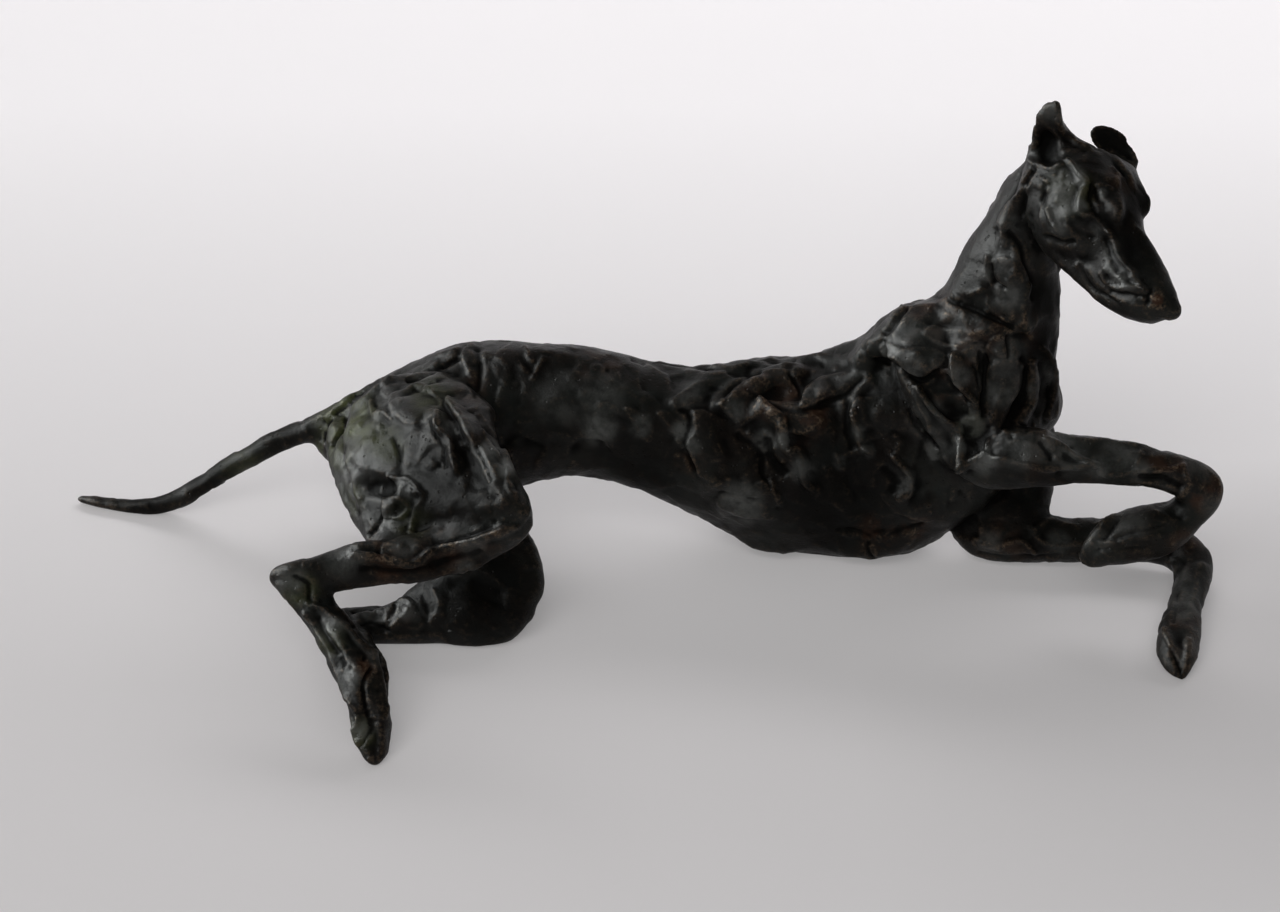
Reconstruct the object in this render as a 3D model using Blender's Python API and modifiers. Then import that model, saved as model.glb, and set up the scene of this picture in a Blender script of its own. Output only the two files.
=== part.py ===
"""Lying greyhound, one bronze casting, about half life size.

The body is built the way a clay figure is: lofted limbs over a named pose, muscles and pads laid
on them, all fused into one skin that stands on flat resting patches at z = 0.
"""
import math

import bpy
import bmesh
import numpy as np
from mathutils import Matrix, Vector
from mathutils.bvhtree import BVHTree

# Driving size: tail tip to the fold of the near wrist, along X
LENGTH = 0.55

# Pose and carving are shares of the length, this many of them from tail tip to wrist
LENGTH_SHARES = 558.2
SHARE = LENGTH / LENGTH_SHARES

# Forms are placed on a drawing of the figure, seen from the front and 35 degrees above.
# A place is (u, v) on the drawing plus y, the depth behind the figure's middle, in shares.
DRAWING_CENTRE = (640.0, 456.0)
DRAWING_REACH = 2932.0
VIEW_RISE_DEGREES = 35.0
VIEW_RISE = math.radians(VIEW_RISE_DEGREES)
VIEW_AIM = Vector((0.0, 0.0, 60.0))
VIEW_DISTANCE = 1400.0
TOWARDS = Vector((0.0, -math.cos(VIEW_RISE), math.sin(VIEW_RISE)))
UPWARDS = Vector((0.0, math.sin(VIEW_RISE), math.cos(VIEW_RISE)))
EYE = VIEW_AIM + VIEW_DISTANCE * TOWARDS

# The far side is drawn the same way from behind, mirrored about this depth
MIDDLE_DEPTH = 22.0

# Skin: size of the fused grid, rounds of smoothing, facets of the finished solid
SKIN_GRID = 1.5
SKIN_SMOOTHING = 4
STROKE_SMOOTHING = 4
SKIN_FACETS = 9600

# Fusing and smoothing wear the forms down by this much, so they are laid on larger by it
SKIN_LOSS = 0.6

# Corners lower than this are level with the floor
REST_SNAP = 0.4

# Lofts: points round a section, steps between two rows, and the least half sizes of a section
SECTION_POINTS = 24
ROW_STEPS = 4
THINNEST_LIMB = 0.6
THINNEST_TRUNK = 2.0

# Rounded tips: length for their radius, and sections as shares of that length and radius
TIP_REACH = 0.7
TIP_SECTIONS = ((0.55, 0.84), (1.0, 0.35))


def ray(u, v):
    """Direction from the eye through a point of the drawing, one unit deep."""
    right = (u - DRAWING_CENTRE[0]) / DRAWING_REACH
    up = (DRAWING_CENTRE[1] - v) / DRAWING_REACH
    return Vector((right, 0.0, 0.0)) + up * UPWARDS - TOWARDS


def spot(u, v, y):
    """The place in shares that the drawing shows at (u, v), at depth y."""
    line = ray(u, v)
    return EYE + line * ((y - EYE.y) / line.y)


def scale_at(place):
    """Shares covered by one drawing unit at a place."""
    return (EYE - place).dot(TOWARDS) / DRAWING_REACH


def curve_through(rows):
    """Rows of numbers, filled in between by a Catmull-Rom curve."""
    keys = np.array(rows, dtype=float)
    padded = np.vstack([2 * keys[0] - keys[1], keys, 2 * keys[-1] - keys[-2]])
    filled = []
    for i in range(len(keys) - 1):
        a, b, c, d = padded[i:i + 4]
        for step in range(ROW_STEPS):
            t = step / ROW_STEPS
            filled.append(0.5 * (2 * b + (c - a) * t + (2 * a - 5 * b + 4 * c - d) * t ** 2
                                 + (3 * b - a - 3 * c + d) * t ** 3))
    filled.append(keys[-1])
    return np.array(filled)


def skin_between(clay, sections):
    """Faces between closed sections, with both ends capped."""
    rings = [[clay.verts.new(point) for point in section] for section in sections]
    count = len(rings[0])
    for ring, following in zip(rings, rings[1:]):
        for i in range(count):
            j = (i + 1) % count
            clay.faces.new((ring[i], ring[j], following[j], following[i]))
    clay.faces.new(list(reversed(rings[0])))
    clay.faces.new(rings[-1])


def round_ends(centres, across, through, axes):
    """Two more sections beyond each end of a path, closing it as a rounded tip."""
    centres = [Vector(centre) for centre in centres]
    across = list(across)
    through = list(through)
    axes = list(axes)
    for end, inner in ((0, 1), (-1, -2)):
        out = (centres[end] - centres[inner]).normalized()
        reach = min(across[end], through[end]) * TIP_REACH
        tip = [(centres[end] + out * (reach * away), across[end] * size, through[end] * size)
               for away, size in TIP_SECTIONS]
        place = 0 if end == 0 else len(centres)
        frame = axes[end]
        for centre, half, depth in (reversed(tip) if end == -1 else tip):
            centres.insert(place, centre)
            across.insert(place, half)
            through.insert(place, depth)
            axes.insert(place, frame)
    return centres, across, through, axes


def loft(clay, centres, across, through, axes, egg=0.0):
    """Ellipse sections along a path: half sizes across and through, on the given axes."""
    centres, across, through, axes = round_ends(centres, across, through, axes)
    sections = []
    for centre, half, depth, (side, front) in zip(centres, across, through, axes):
        section = []
        for k in range(SECTION_POINTS):
            angle = 2 * math.pi * k / SECTION_POINTS
            swell = 1 + egg * math.sin(angle)
            offset = side * (half * swell * math.cos(angle)) + front * (depth * math.sin(angle))
            section.append((Vector(centre) + offset) * SHARE)
        sections.append(section)
    skin_between(clay, sections)


def limb(clay, rows):
    """A limb on the drawing: rows of u, v, depth, half width in drawing units, thickness ratio."""
    filled = curve_through([(*spot(u, v, y), half, ratio) for u, v, y, half, ratio in rows])
    centres = [Vector(row[:3]) for row in filled]
    across = []
    through = []
    axes = []
    for i, centre in enumerate(centres):
        along = (centres[min(i + 1, len(centres) - 1)] - centres[max(i - 1, 0)]).normalized()
        towards_eye = (EYE - centre).normalized()
        front = (towards_eye - along * towards_eye.dot(along)).normalized()
        side = front.cross(along)
        half = max(filled[i][3], THINNEST_LIMB) * scale_at(centre) + SKIN_LOSS
        across.append(half)
        through.append(half * filled[i][4])
        axes.append((side, front))
    loft(clay, centres, across, through, axes)


def trunk(clay, rows, egg):
    """The trunk on the drawing: u, top and bottom edge, depth, half width, lean from upright."""
    stations = []
    for u, top, bottom, y, wide, lean in rows:
        centre = spot(u, (top + bottom) / 2, y)
        tilt = math.radians(VIEW_RISE_DEGREES - lean)
        seen = (bottom - top) / 2 * scale_at(centre)
        upright = max(seen ** 2 - (wide * math.sin(tilt)) ** 2, THINNEST_TRUNK ** 2)
        stations.append((*centre, wide, math.sqrt(upright) / math.cos(tilt), lean))
    filled = curve_through(stations)
    axes = []
    for row in filled:
        lean = math.radians(row[5])
        back = Vector((0.0, math.sin(lean), math.cos(lean)))
        side = Vector((0.0, math.cos(lean), -math.sin(lean)))
        axes.append((side, back))
    loft(clay, [row[:3] for row in filled], filled[:, 3], filled[:, 4], axes, egg)


def ball(clay, centre, half_sizes, axes):
    """An ellipsoid with its three half sizes along three axes."""
    turned = Matrix((axes[0], axes[1], axes[2])).transposed().to_4x4()
    sizes = Matrix.Diagonal((*[size * SHARE for size in half_sizes], 1.0))
    where = Matrix.Translation(Vector(centre) * SHARE)
    bmesh.ops.create_icosphere(clay, subdivisions=3, radius=1.0, matrix=where @ turned @ sizes)


# Trunk: u, top, bottom, depth, half width, lean away from the viewer in degrees
TRUNK = [
    (330, 420, 462, 36, 13, 40),
    (345, 403, 478, 34, 20, 40),
    (380, 378, 500, 30, 27, 40),
    (430, 354, 505, 27, 30, 38),
    (480, 340, 495, 25, 28, 36),
    (530, 342, 484, 24, 25, 33),
    (580, 345, 476, 24, 24, 30),
    (630, 356, 487, 23, 26, 26),
    (680, 369, 509, 22, 29, 22),
    (730, 367, 534, 21, 32, 19),
    (780, 363, 552, 20, 34, 17),
    (830, 352, 558, 20, 35, 16),
    (880, 325, 561, 20, 35, 15),
    (925, 303, 550, 18, 33, 15),
    (965, 300, 525, 15, 30, 15),
    (1005, 322, 490, 12, 26, 12),
    (1034, 352, 450, 10, 20, 10),
    (1045, 372, 432, 9, 12, 10),
]
CHEST_EGG = 0.12

# Limbs: u, v, depth, half width on the drawing, thickness ratio
NECK = [
    (980, 400, 14, 68, 0.70),
    (987, 355, 15, 69, 0.80),
    (1001, 305, 16, 59, 0.85),
    (1012, 262, 17, 49, 0.90),
    (1025, 225, 18, 38, 1.00),
    (1038, 192, 19, 31, 1.10),
    (1049, 170, 20, 24, 1.20),
]
SHOULDER_TOP = [
    (858, 364, 17, 9, 1.2),
    (890, 338, 17, 17, 1.1),
    (920, 323, 17, 20, 1.1),
    (960, 327, 16, 25, 1.1),
    (1000, 347, 10, 22, 1.1),
]
NEAR_SHOULDER = [
    (905, 335, 8, 20, 0.9),
    (932, 365, -3, 38, 0.5),
    (962, 400, -9, 48, 0.42),
    (985, 432, -15, 42, 0.45),
    (988, 458, -20, 26, 0.7),
]
FAR_SHOULDER = [
    (925, 330, 34, 20, 0.9),
    (960, 365, 42, 38, 0.6),
    (1000, 400, 44, 40, 0.5),
    (1015, 430, 36, 36, 0.6),
]
TAIL = [
    (355, 412, 34, 17, 1.0),
    (325, 425, 36, 13, 1.0),
    (305, 432, 36, 11, 1.0),
    (280, 440, 36, 10.5, 1.0),
    (255, 453, 37, 10, 1.0),
    (230, 467, 37, 9.5, 1.0),
    (205, 484, 37, 8.5, 1.0),
    (180, 498, 36, 9, 1.0),
    (155, 506, 36, 8.5, 1.0),
    (130, 507, 38, 6, 1.2),
    (105, 503, 41, 5.5, 1.3),
    (78, 499, 45, 3, 1.4),
]
FAR_UPPER_ARM = [
    (1020, 430, 26, 36, 0.8),
    (1015, 470, 20, 40, 0.8),
    (1003, 506, 8, 42, 0.7),
    (990, 530, 0, 30, 0.8),
]
NEAR_FORELEG = [
    (965, 440, -12, 30, 0.8),
    (990, 460, -24, 28, 0.9),
    (1030, 457, -30, 29, 0.85),
    (1065, 460, -31, 24, 0.85),
    (1100, 460, -32, 22, 0.85),
    (1140, 466, -34, 20, 0.9),
    (1175, 473, -35, 19, 1.0),
    (1199, 486, -36, 22, 0.9),
    (1198, 500, -37, 20, 0.9),
    (1182, 517, -38, 19, 1.0),
    (1160, 529, -40, 26, 0.9),
    (1132, 536, -42, 26, 0.8),
    (1106, 549, -44, 18, 0.9),
    (1088, 562, -45, 7, 1.0),
]
FAR_FORELEG = [
    (976, 505, 12, 30, 0.8),
    (979, 530, 3, 25, 0.8),
    (1005, 538, -1, 23, 0.9),
    (1040, 539, -3, 23, 0.9),
    (1080, 540, -4, 22, 0.9),
    (1120, 541, -6, 20, 0.9),
    (1160, 545, -9, 18, 0.9),
    (1188, 556, -15, 20, 0.9),
    (1193, 575, -27, 18, 0.9),
    (1188, 597, -43, 16, 0.9),
    (1182, 620, -60, 18, 0.8),
    (1178, 643, -76, 22, 0.7),
    (1178, 662, -88, 17, 0.6),
    (1182, 678, -95, 6, 0.8),
]
NEAR_THIGH = [
    (405, 405, 8, 60, 0.5),
    (415, 430, -12, 74, 0.5),
    (430, 458, -34, 80, 0.45),
    (460, 484, -54, 60, 0.5),
    (497, 503, -70, 38, 0.7),
    (519, 510, -77, 18, 0.8),
]
HAMSTRING = [
    (347, 440, 22, 22, 0.9),
    (361, 475, -8, 26, 0.9),
    (380, 510, -40, 28, 0.8),
    (397, 540, -66, 24, 0.7),
    (407, 556, -80, 18, 0.8),
]
NEAR_SHIN = [
    (519, 515, -77, 18, 0.9),
    (502, 526, -78, 24, 0.8),
    (455, 546, -79, 25, 0.7),
    (410, 560, -81, 23, 0.7),
    (365, 565, -85, 21, 0.7),
    (330, 572, -88, 19, 0.7),
    (300, 577, -90, 17, 0.8),
    (280, 578, -90, 11, 0.9),
    (272, 577, -90, 5, 1.0),
]
NEAR_HIND_FOOT = [
    (285, 577, -90, 12, 1.0),
    (302, 592, -94, 17, 0.9),
    (322, 615, -101, 18, 0.8),
    (341, 642, -112, 21, 0.7),
    (356, 668, -123, 23, 0.6),
    (366, 695, -134, 19, 0.7),
    (371, 720, -142, 20, 0.6),
    (374, 745, -148, 17, 0.5),
    (375, 764, -155, 7, 0.8),
]
FAR_THIGH = [
    (410, 425, 44, 62, 0.6),
    (440, 475, 8, 58, 0.6),
    (470, 530, -24, 50, 0.6),
    (498, 568, -46, 44, 0.7),
    (513, 598, -57, 34, 0.7),
]
FAR_SHIN = [
    (514, 596, -57, 32, 0.8),
    (495, 603, -58, 41, 0.6),
    (465, 604, -60, 42, 0.6),
    (436, 611, -60, 34, 0.6),
    (412, 620, -62, 25, 0.7),
    (390, 625, -63, 19, 0.8),
    (362, 626, -62, 19, 0.8),
    (340, 622, -60, 14, 0.9),
]
FAR_HIND_FOOT = [
    (345, 622, -60, 14, 0.9),
    (358, 645, -82, 15, 0.8),
    (370, 668, -103, 15, 0.8),
    (377, 690, -118, 13, 0.8),
    (379, 711, -129, 6, 0.8),
]

# Strokes: path on the drawing, half width on the drawing, height, crispness of the rim, and
# tilt, which makes the side to the left of the path higher. Each works on the skin within the
# stroke depth, on what faces its own way, and a path point off the figure takes the skin
# nearest to its line of sight between the two depths of search.
STROKE_DEPTH = 14.0
FACING_GAIN = 1.6
SEARCH_DEPTHS = range(-170, 70, 4)
BACK_STROKES = [
    (((392, 388), (420, 372), (456, 352)), 11, 2.5, 1.6, 0.3),
    (((400, 398), (430, 385), (462, 366)), 6, -2.5, 1.3, 0.0),
    (((332, 430), (362, 405), (392, 382)), 7, 2.5, 1.5, 0.4),
    (((425, 388), (465, 388)), 14, 1.5, 1.4, 0.0),
    (((480, 356), (560, 354)), 16, 1.4, 1.2, 0.0),
    (((500, 440), (600, 452), (670, 478)), 18, -2.0, 1.0, 0.0),
    (((560, 400), (620, 405), (665, 425)), 24, 1.8, 1.0, 0.0),
    (((677, 402), (722, 378), (765, 363)), 15, 2.4, 2.0, -0.5),
    (((722, 402), (750, 386), (796, 372)), 16, 3.2, 2.2, -0.4),
    (((800, 400), (825, 388), (862, 374)), 18, 3.0, 2.0, -0.4),
    (((712, 392), (752, 372)), 6, -2.4, 1.4, 0.0),
    (((796, 402), (806, 382)), 7, -2.6, 1.3, 0.0),
    (((862, 352), (890, 332)), 13, 1.8, 1.4, 0.2),
]
RIB_STROKES = [
    (((698, 420), (712, 470)), 22, 2.4, 2.2, 0.3),
    (((765, 412), (822, 424)), 18, 3.2, 2.0, 0.3),
    (((764, 410), (780, 428), (784, 456)), 8, 2.6, 1.5, 0.0),
    (((760, 446), (772, 474)), 12, -3.0, 1.2, 0.0),
    (((795, 450), (803, 472), (814, 490)), 9, 2.2, 1.5, 0.0),
    (((708, 484), (772, 496)), 17, 2.2, 1.8, 0.2),
    (((722, 506), (770, 514)), 12, 2.2, 1.6, 0.0),
    (((822, 440), (845, 500)), 24, 1.6, 1.4, 0.2),
    (((855, 405), (900, 420)), 18, 2.2, 1.6, -0.2),
    (((858, 404), (854, 430), (868, 448)), 7, 1.8, 1.4, 0.0),
    (((870, 462), (898, 492)), 20, 1.8, 1.6, 0.0),
    (((898, 458), (911, 477), (900, 495)), 7, 2.2, 1.5, 0.0),
    (((745, 545), (785, 549)), 12, 2.6, 1.5, 0.0),
    (((840, 549), (868, 551)), 13, 2.2, 1.8, 0.0),
    (((876, 551), (910, 545)), 13, 2.2, 1.8, 0.0),
    (((835, 528), (878, 534), (920, 526)), 7, -1.8, 1.2, 0.0),
    (((905, 505), (945, 520)), 16, 1.6, 1.4, 0.0),
    (((735, 432), (750, 455), (762, 468)), 8, -1.8, 1.1, 0.0),
]
SHOULDER_STROKES = [
    (((900, 318), (955, 306)), 16, 3.0, 1.8, 0.0),
    (((926, 326), (965, 325), (1000, 334)), 13, 2.6, 2.0, -0.3),
    (((884, 348), (915, 352), (948, 362)), 17, 3.6, 2.2, -0.5),
    (((878, 360), (915, 377), (938, 377)), 8, -2.4, 1.2, 0.0),
    (((963, 345), (968, 378), (979, 412)), 15, 3.4, 2.2, -0.4),
    (((982, 350), (981, 412)), 6, -3.0, 1.2, 0.0),
    (((1003, 358), (1005, 390), (1000, 425)), 18, 3.4, 2.2, 0.0),
    (((1021, 365), (1022, 390), (1012, 420)), 6, -2.8, 1.2, 0.0),
    (((1029, 362), (1033, 395), (1024, 422)), 8, 2.6, 1.6, 0.0),
    (((1042, 350), (1054, 378), (1052, 415)), 8, 2.2, 1.6, 0.0),
    (((921, 390), (938, 412), (956, 430), (964, 464)), 8, 3.0, 1.5, 0.0),
    (((946, 400), (966, 432)), 11, -2.4, 1.1, 0.0),
    (((911, 388), (926, 418), (937, 436)), 7, 1.8, 1.4, 0.0),
    (((898, 430), (935, 462)), 16, -1.8, 1.0, 0.0),
]
NECK_STROKES = [
    (((1028, 176), (1016, 205), (1003, 240)), 8, 2.6, 1.4, -0.3),
    (((1012, 262), (1022, 285), (1028, 318)), 18, 3.0, 1.8, 0.2),
    (((992, 262), (990, 300)), 9, -2.6, 1.2, 0.0),
    (((1036, 262), (1032, 320)), 7, -2.0, 1.2, 0.0),
    (((955, 298), (1000, 318)), 8, -2.2, 1.1, 0.0),
]
FORELEG_STROKES = [
    (((992, 436), (1042, 436)), 12, 2.6, 1.6, 0.0),
    (((966, 463), (985, 463), (1002, 458)), 8, 2.4, 1.5, 0.0),
    (((1000, 462), (1045, 466), (1096, 467)), 6, 1.8, 1.3, 0.0),
    (((1045, 444), (1072, 452), (1096, 464)), 6, 1.6, 1.3, 0.0),
    (((1145, 478), (1180, 480)), 8, -1.8, 1.2, 0.0),
    (((1142, 470), (1168, 466), (1186, 476)), 5, 1.4, 1.3, 0.0),
    (((1112, 518), (1098, 538), (1083, 556)), 8, 2.0, 1.4, 0.0),
    (((975, 543), (1007, 544), (1027, 550)), 6, 1.8, 1.4, 0.0),
    (((1180, 536), (1204, 545)), 10, 1.6, 1.3, 0.0),
    (((1165, 630), (1174, 650)), 6, 1.8, 1.4, 0.0),
    (((1190, 626), (1188, 655)), 6, 1.4, 1.3, 0.0),
    (((1181, 640), (1180, 668)), 4, -1.6, 1.2, 0.0),
]
HAUNCH_STROKES = [
    (((340, 452), (375, 425)), 22, 1.6, 1.2, 0.0),
    (((392, 405), (432, 430)), 22, 2.4, 1.8, 0.2),
    (((436, 414), (446, 440), (456, 470)), 8, 2.6, 1.6, -0.4),
    (((452, 402), (464, 424), (471, 446)), 8, 2.6, 1.6, -0.4),
    (((474, 428), (488, 460), (502, 492)), 12, 2.8, 1.8, -0.4),
    (((503, 452), (508, 494)), 6, 2.0, 1.4, 0.0),
    (((462, 452), (476, 488)), 8, -2.0, 1.1, 0.0),
    (((366, 484), (388, 488)), 11, -3.4, 1.2, 0.0),
    (((388, 508), (404, 500), (404, 488)), 8, 3.0, 1.5, 0.0),
    (((356, 492), (366, 520)), 8, 2.2, 1.4, 0.0),
    (((376, 528), (384, 520)), 7, -2.2, 1.2, 0.0),
    (((386, 546), (426, 546)), 11, 2.4, 1.6, 0.0),
    (((348, 548), (372, 546)), 10, 2.0, 1.4, 0.0),
    (((430, 500), (480, 505)), 22, 1.6, 1.1, 0.0),
    (((498, 502), (524, 512)), 13, 2.4, 1.6, 0.0),
]
HIND_LEG_STROKES = [
    (((350, 557), (410, 562), (475, 541), (502, 530)), 6, 2.2, 1.4, 0.0),
    (((350, 575), (410, 574), (470, 558)), 7, -1.4, 1.1, 0.0),
    (((274, 574), (300, 566)), 8, 2.0, 1.5, 0.0),
    (((290, 590), (305, 600)), 8, -1.8, 1.1, 0.0),
    (((336, 632), (352, 662), (358, 690)), 9, 2.0, 1.5, 0.0),
    (((360, 664), (364, 676)), 8, 2.0, 1.4, 0.0),
    (((366, 700), (372, 716)), 8, -1.8, 1.2, 0.0),
    (((360, 722), (370, 758)), 8, 1.8, 1.5, 0.0),
    (((382, 714), (382, 746)), 7, 1.8, 1.4, 0.0),
    (((392, 603), (404, 624)), 8, 2.0, 1.5, 0.0),
    (((448, 572), (480, 562)), 10, 2.0, 1.2, 0.0),
    (((455, 590), (500, 600)), 20, -1.6, 1.0, 0.0),
]
FACE_STROKES = [
    (((1092, 192), (1114, 196)), 10, -2.6, 1.2, 0.0),
    (((1085, 170), (1100, 180), (1120, 184)), 6, 1.6, 1.4, 0.0),
    (((1083, 168), (1081, 204), (1104, 230)), 6, 1.8, 1.4, 0.0),
    (((1125, 215), (1140, 265)), 10, -1.4, 1.1, 0.0),
    (((1108, 268), (1126, 286)), 8, 1.8, 1.4, 0.0),
    (((1112, 262), (1132, 292), (1152, 300)), 5, 1.2, 1.3, 0.0),
    (((1058, 255), (1090, 262)), 10, -2.0, 1.1, 0.0),
    (((1070, 272), (1100, 300)), 7, 1.4, 1.3, 0.0),
    (((1043, 160), (1042, 135)), 10, -4.0, 1.4, 0.0),
    (((1112, 150), (1124, 158)), 8, -1.5, 1.2, 0.0),
]

# The far side repeats the trunk's strokes, moved and lower, so that it is alike but plainer
FAR_SHIFT = (-13, 7)
FAR_HEIGHT = 0.7


def far_strokes(strokes):
    """Strokes of the near side as the far side has them."""
    return [([(u + FAR_SHIFT[0], v + FAR_SHIFT[1]) for u, v in path], half, height * FAR_HEIGHT,
             crisp, tilt) for path, half, height, crisp, tilt in strokes]


# Head: its own frame, f from occiput to nose, n from throat to crown, l to the dog's left.
# Its place is u, v, depth, so the head stays on the neck.
HEAD_PLACE = (1047.0, 136.4, 22.0)
HEAD_YAW = 52.0
HEAD_PITCH = 22.0
HEAD_ROLL = 22.0

# Head sections: f, top n, bottom n, half width, sideways shift
HEAD = [
    (2, 3, -14, 9, 0),
    (10, 9, -26, 17, 0),
    (23, 13, -34, 22, 1),
    (38, 13, -38, 22, 1),
    (50, 10, -37, 18, 0),
    (62, 5, -35, 14, -1),
    (75, 2, -33, 12.5, -2),
    (88, -2, -29, 11.5, -2),
    (96, -5, -24, 9, -1),
    (101, -8, -17, 5, 0),
]

# Far brow with the skull behind it, near brow, near cheek and far cheek: f, l, n of the middle,
# then half sizes along f, l and n
HEAD_PADS = [
    (42, 12, 4, 16, 8, 9),
    (34, 12, 5, 13, 12, 10),
    (49, -11, 5, 9, 5, 6),
    (38, -15, -14, 15, 8, 13),
    (38, 15, -14, 15, 8, 13),
]


def head_frame():
    """Directions of the head's f, l and n axes."""
    yaw = math.radians(HEAD_YAW)
    pitch = math.radians(HEAD_PITCH)
    roll = math.radians(HEAD_ROLL)
    forward = Vector((math.cos(yaw) * math.cos(pitch), -math.sin(yaw) * math.cos(pitch),
                      -math.sin(pitch)))
    left = Vector((math.sin(yaw), math.cos(yaw), 0.0))
    crown = forward.cross(left)
    return (forward, left * math.cos(roll) - crown * math.sin(roll),
            crown * math.cos(roll) + left * math.sin(roll))


FORWARD, LEFT, CROWN = head_frame()


def on_head(f, l, n):
    """A place in shares given in the head's own frame."""
    return spot(*HEAD_PLACE) + FORWARD * f + LEFT * l + CROWN * n


def head(clay):
    """Skull and muzzle as one loft, with brows and cheeks on it."""
    filled = curve_through([(f, l, (top + low) / 2, wide, (top - low) / 2)
                            for f, top, low, wide, l in HEAD])
    loft(clay, [on_head(*row[:3]) for row in filled], filled[:, 3], filled[:, 4],
         [(LEFT, CROWN)] * len(filled))
    for pad in HEAD_PADS:
        ball(clay, on_head(*pad[:3]), pad[3:], (FORWARD, LEFT, CROWN))


NEAR_EAR = [
    (1053, 182, 14, 18, 0.7),
    (1054, 165, 13, 24, 0.5),
    (1055, 150, 12, 25, 0.36),
    (1051, 135, 11, 19, 0.36),
    (1049, 120, 10, 14, 0.4),
    (1052, 109, 9, 10, 0.45),
    (1058, 102, 9, 5, 0.6),
]
FAR_EAR = [
    (1118, 185, 16, 14, 0.6),
    (1122, 168, 20, 16, 0.45),
    (1121, 156, 23, 16, 0.3),
    (1113, 145, 25, 16, 0.26),
    (1102, 136, 26, 14, 0.28),
    (1091, 130, 26, 6, 0.5),
]


def figure(clay):
    """The big forms of the casting, overlapping as laid-on clay does."""
    trunk(clay, TRUNK, CHEST_EGG)
    for rows in (NECK, TAIL, SHOULDER_TOP, NEAR_SHOULDER, FAR_SHOULDER, FAR_UPPER_ARM,
                 NEAR_FORELEG, FAR_FORELEG, NEAR_THIGH, HAMSTRING, NEAR_SHIN, NEAR_HIND_FOOT,
                 FAR_THIGH, FAR_SHIN, FAR_HIND_FOOT, NEAR_EAR, FAR_EAR):
        limb(clay, rows)
    head(clay)


def behind(place):
    """A place mirrored to the far side."""
    return Vector((place.x, 2 * MIDDLE_DEPTH - place.y, place.z))


def on_skin(tree, u, v, far):
    """The skin's place and normal that the drawing shows at (u, v), in shares."""
    start = EYE
    along = ray(u, v)
    if far:
        start = behind(start)
        along.y = -along.y
    place, normal, _, _ = tree.ray_cast(start * SHARE, along.normalized())
    if place is None:
        line = [spot(u, v, y) for y in SEARCH_DEPTHS]
        beside = [tree.find_nearest((behind(point) if far else point) * SHARE) for point in line]
        place, normal, _, _ = min(beside, key=lambda found: found[3])
    return np.array(place) / SHARE, np.array(normal)


def mould(skin, strokes, far=False):
    """Raise or press the skin along strokes drawn on it, each a little like a thumb's swipe."""
    tree = BVHTree.FromPolygons([vertex.co for vertex in skin.vertices],
                                [face.vertices[:] for face in skin.polygons])
    count = len(skin.vertices)
    places = np.empty(count * 3)
    skin.vertices.foreach_get("co", places)
    places = places.reshape(count, 3) / SHARE
    normals = np.empty(count * 3)
    skin.vertex_normals.foreach_get("vector", normals)
    normals = normals.reshape(count, 3)
    moved = np.zeros((count, 3))
    for path, half, height, crisp, tilt in strokes:
        marks = [on_skin(tree, u, v, far) for u, v in path]
        out = sum(normal for _, normal in marks)
        out /= np.linalg.norm(out)
        rim = half * scale_at(Vector(marks[0][0]))
        best = np.full(count, np.inf)
        side = np.zeros(count)
        for (start, _), (end, _) in zip(marks, marks[1:]):
            along = end - start - out * np.dot(end - start, out)
            across = np.cross(out, along)
            across /= np.linalg.norm(across)
            offset = places - start
            lift = offset @ out
            share = np.clip(offset @ along / (along @ along), 0.0, 1.0)
            flat = offset - lift[:, None] * out - share[:, None] * along
            distance = np.linalg.norm(flat, axis=1) + np.maximum(np.abs(lift) - STROKE_DEPTH, 0.0)
            closer = distance < best
            best[closer] = distance[closer]
            side[closer] = (flat @ across)[closer]
        fade = np.clip((1.0 - best / rim) * crisp, 0.0, 1.0)
        fade = fade * fade * (3.0 - 2.0 * fade)
        facing = np.clip(normals @ out * FACING_GAIN, 0.0, 1.0)
        slant = 1.0 + tilt * np.clip(side / rim, -1.0, 1.0)
        moved += (height * fade * facing * slant)[:, None] * out
    skin.vertices.foreach_set("co", ((places + moved) * SHARE).ravel())
    skin.update()


def bronze():
    """Dark patinated bronze."""
    material = bpy.data.materials.new("dark bronze")
    material.use_nodes = True
    shader = material.node_tree.nodes["Principled BSDF"]
    shader.inputs["Base Color"].default_value = (0.030, 0.026, 0.020, 1.0)
    shader.inputs["Metallic"].default_value = 0.9
    shader.inputs["Roughness"].default_value = 0.42
    return material


def evaluated_mesh(thing):
    """The object's mesh with its modifiers applied."""
    graph = bpy.context.evaluated_depsgraph_get()
    return bpy.data.meshes.new_from_object(thing.evaluated_get(graph))


def rest_on_floor(mesh):
    """Flatten what dips below the floor, so the figure stands on real flat patches."""
    for vertex in mesh.vertices:
        if vertex.co.z < 0.0:
            vertex.co.z = 0.0


def soften(body, rounds):
    """A smoothing modifier on the body."""
    smooth = body.modifiers.new("soften", "SMOOTH")
    smooth.iterations = round(rounds)
    smooth.factor = 0.5


def fused(body, clay, rounds):
    """Fuse overlapping clay into one smooth skin, as the body's mesh."""
    bmesh.ops.recalc_face_normals(clay, faces=clay.faces)
    mesh = bpy.data.meshes.new("clay")
    clay.to_mesh(mesh)
    clay.free()
    body.data = mesh
    fuse = body.modifiers.new("fuse", "REMESH")
    fuse.mode = "VOXEL"
    fuse.voxel_size = SKIN_GRID * SHARE
    soften(body, rounds)
    skin = evaluated_mesh(body)
    body.modifiers.clear()
    body.data = skin
    return skin


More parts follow.
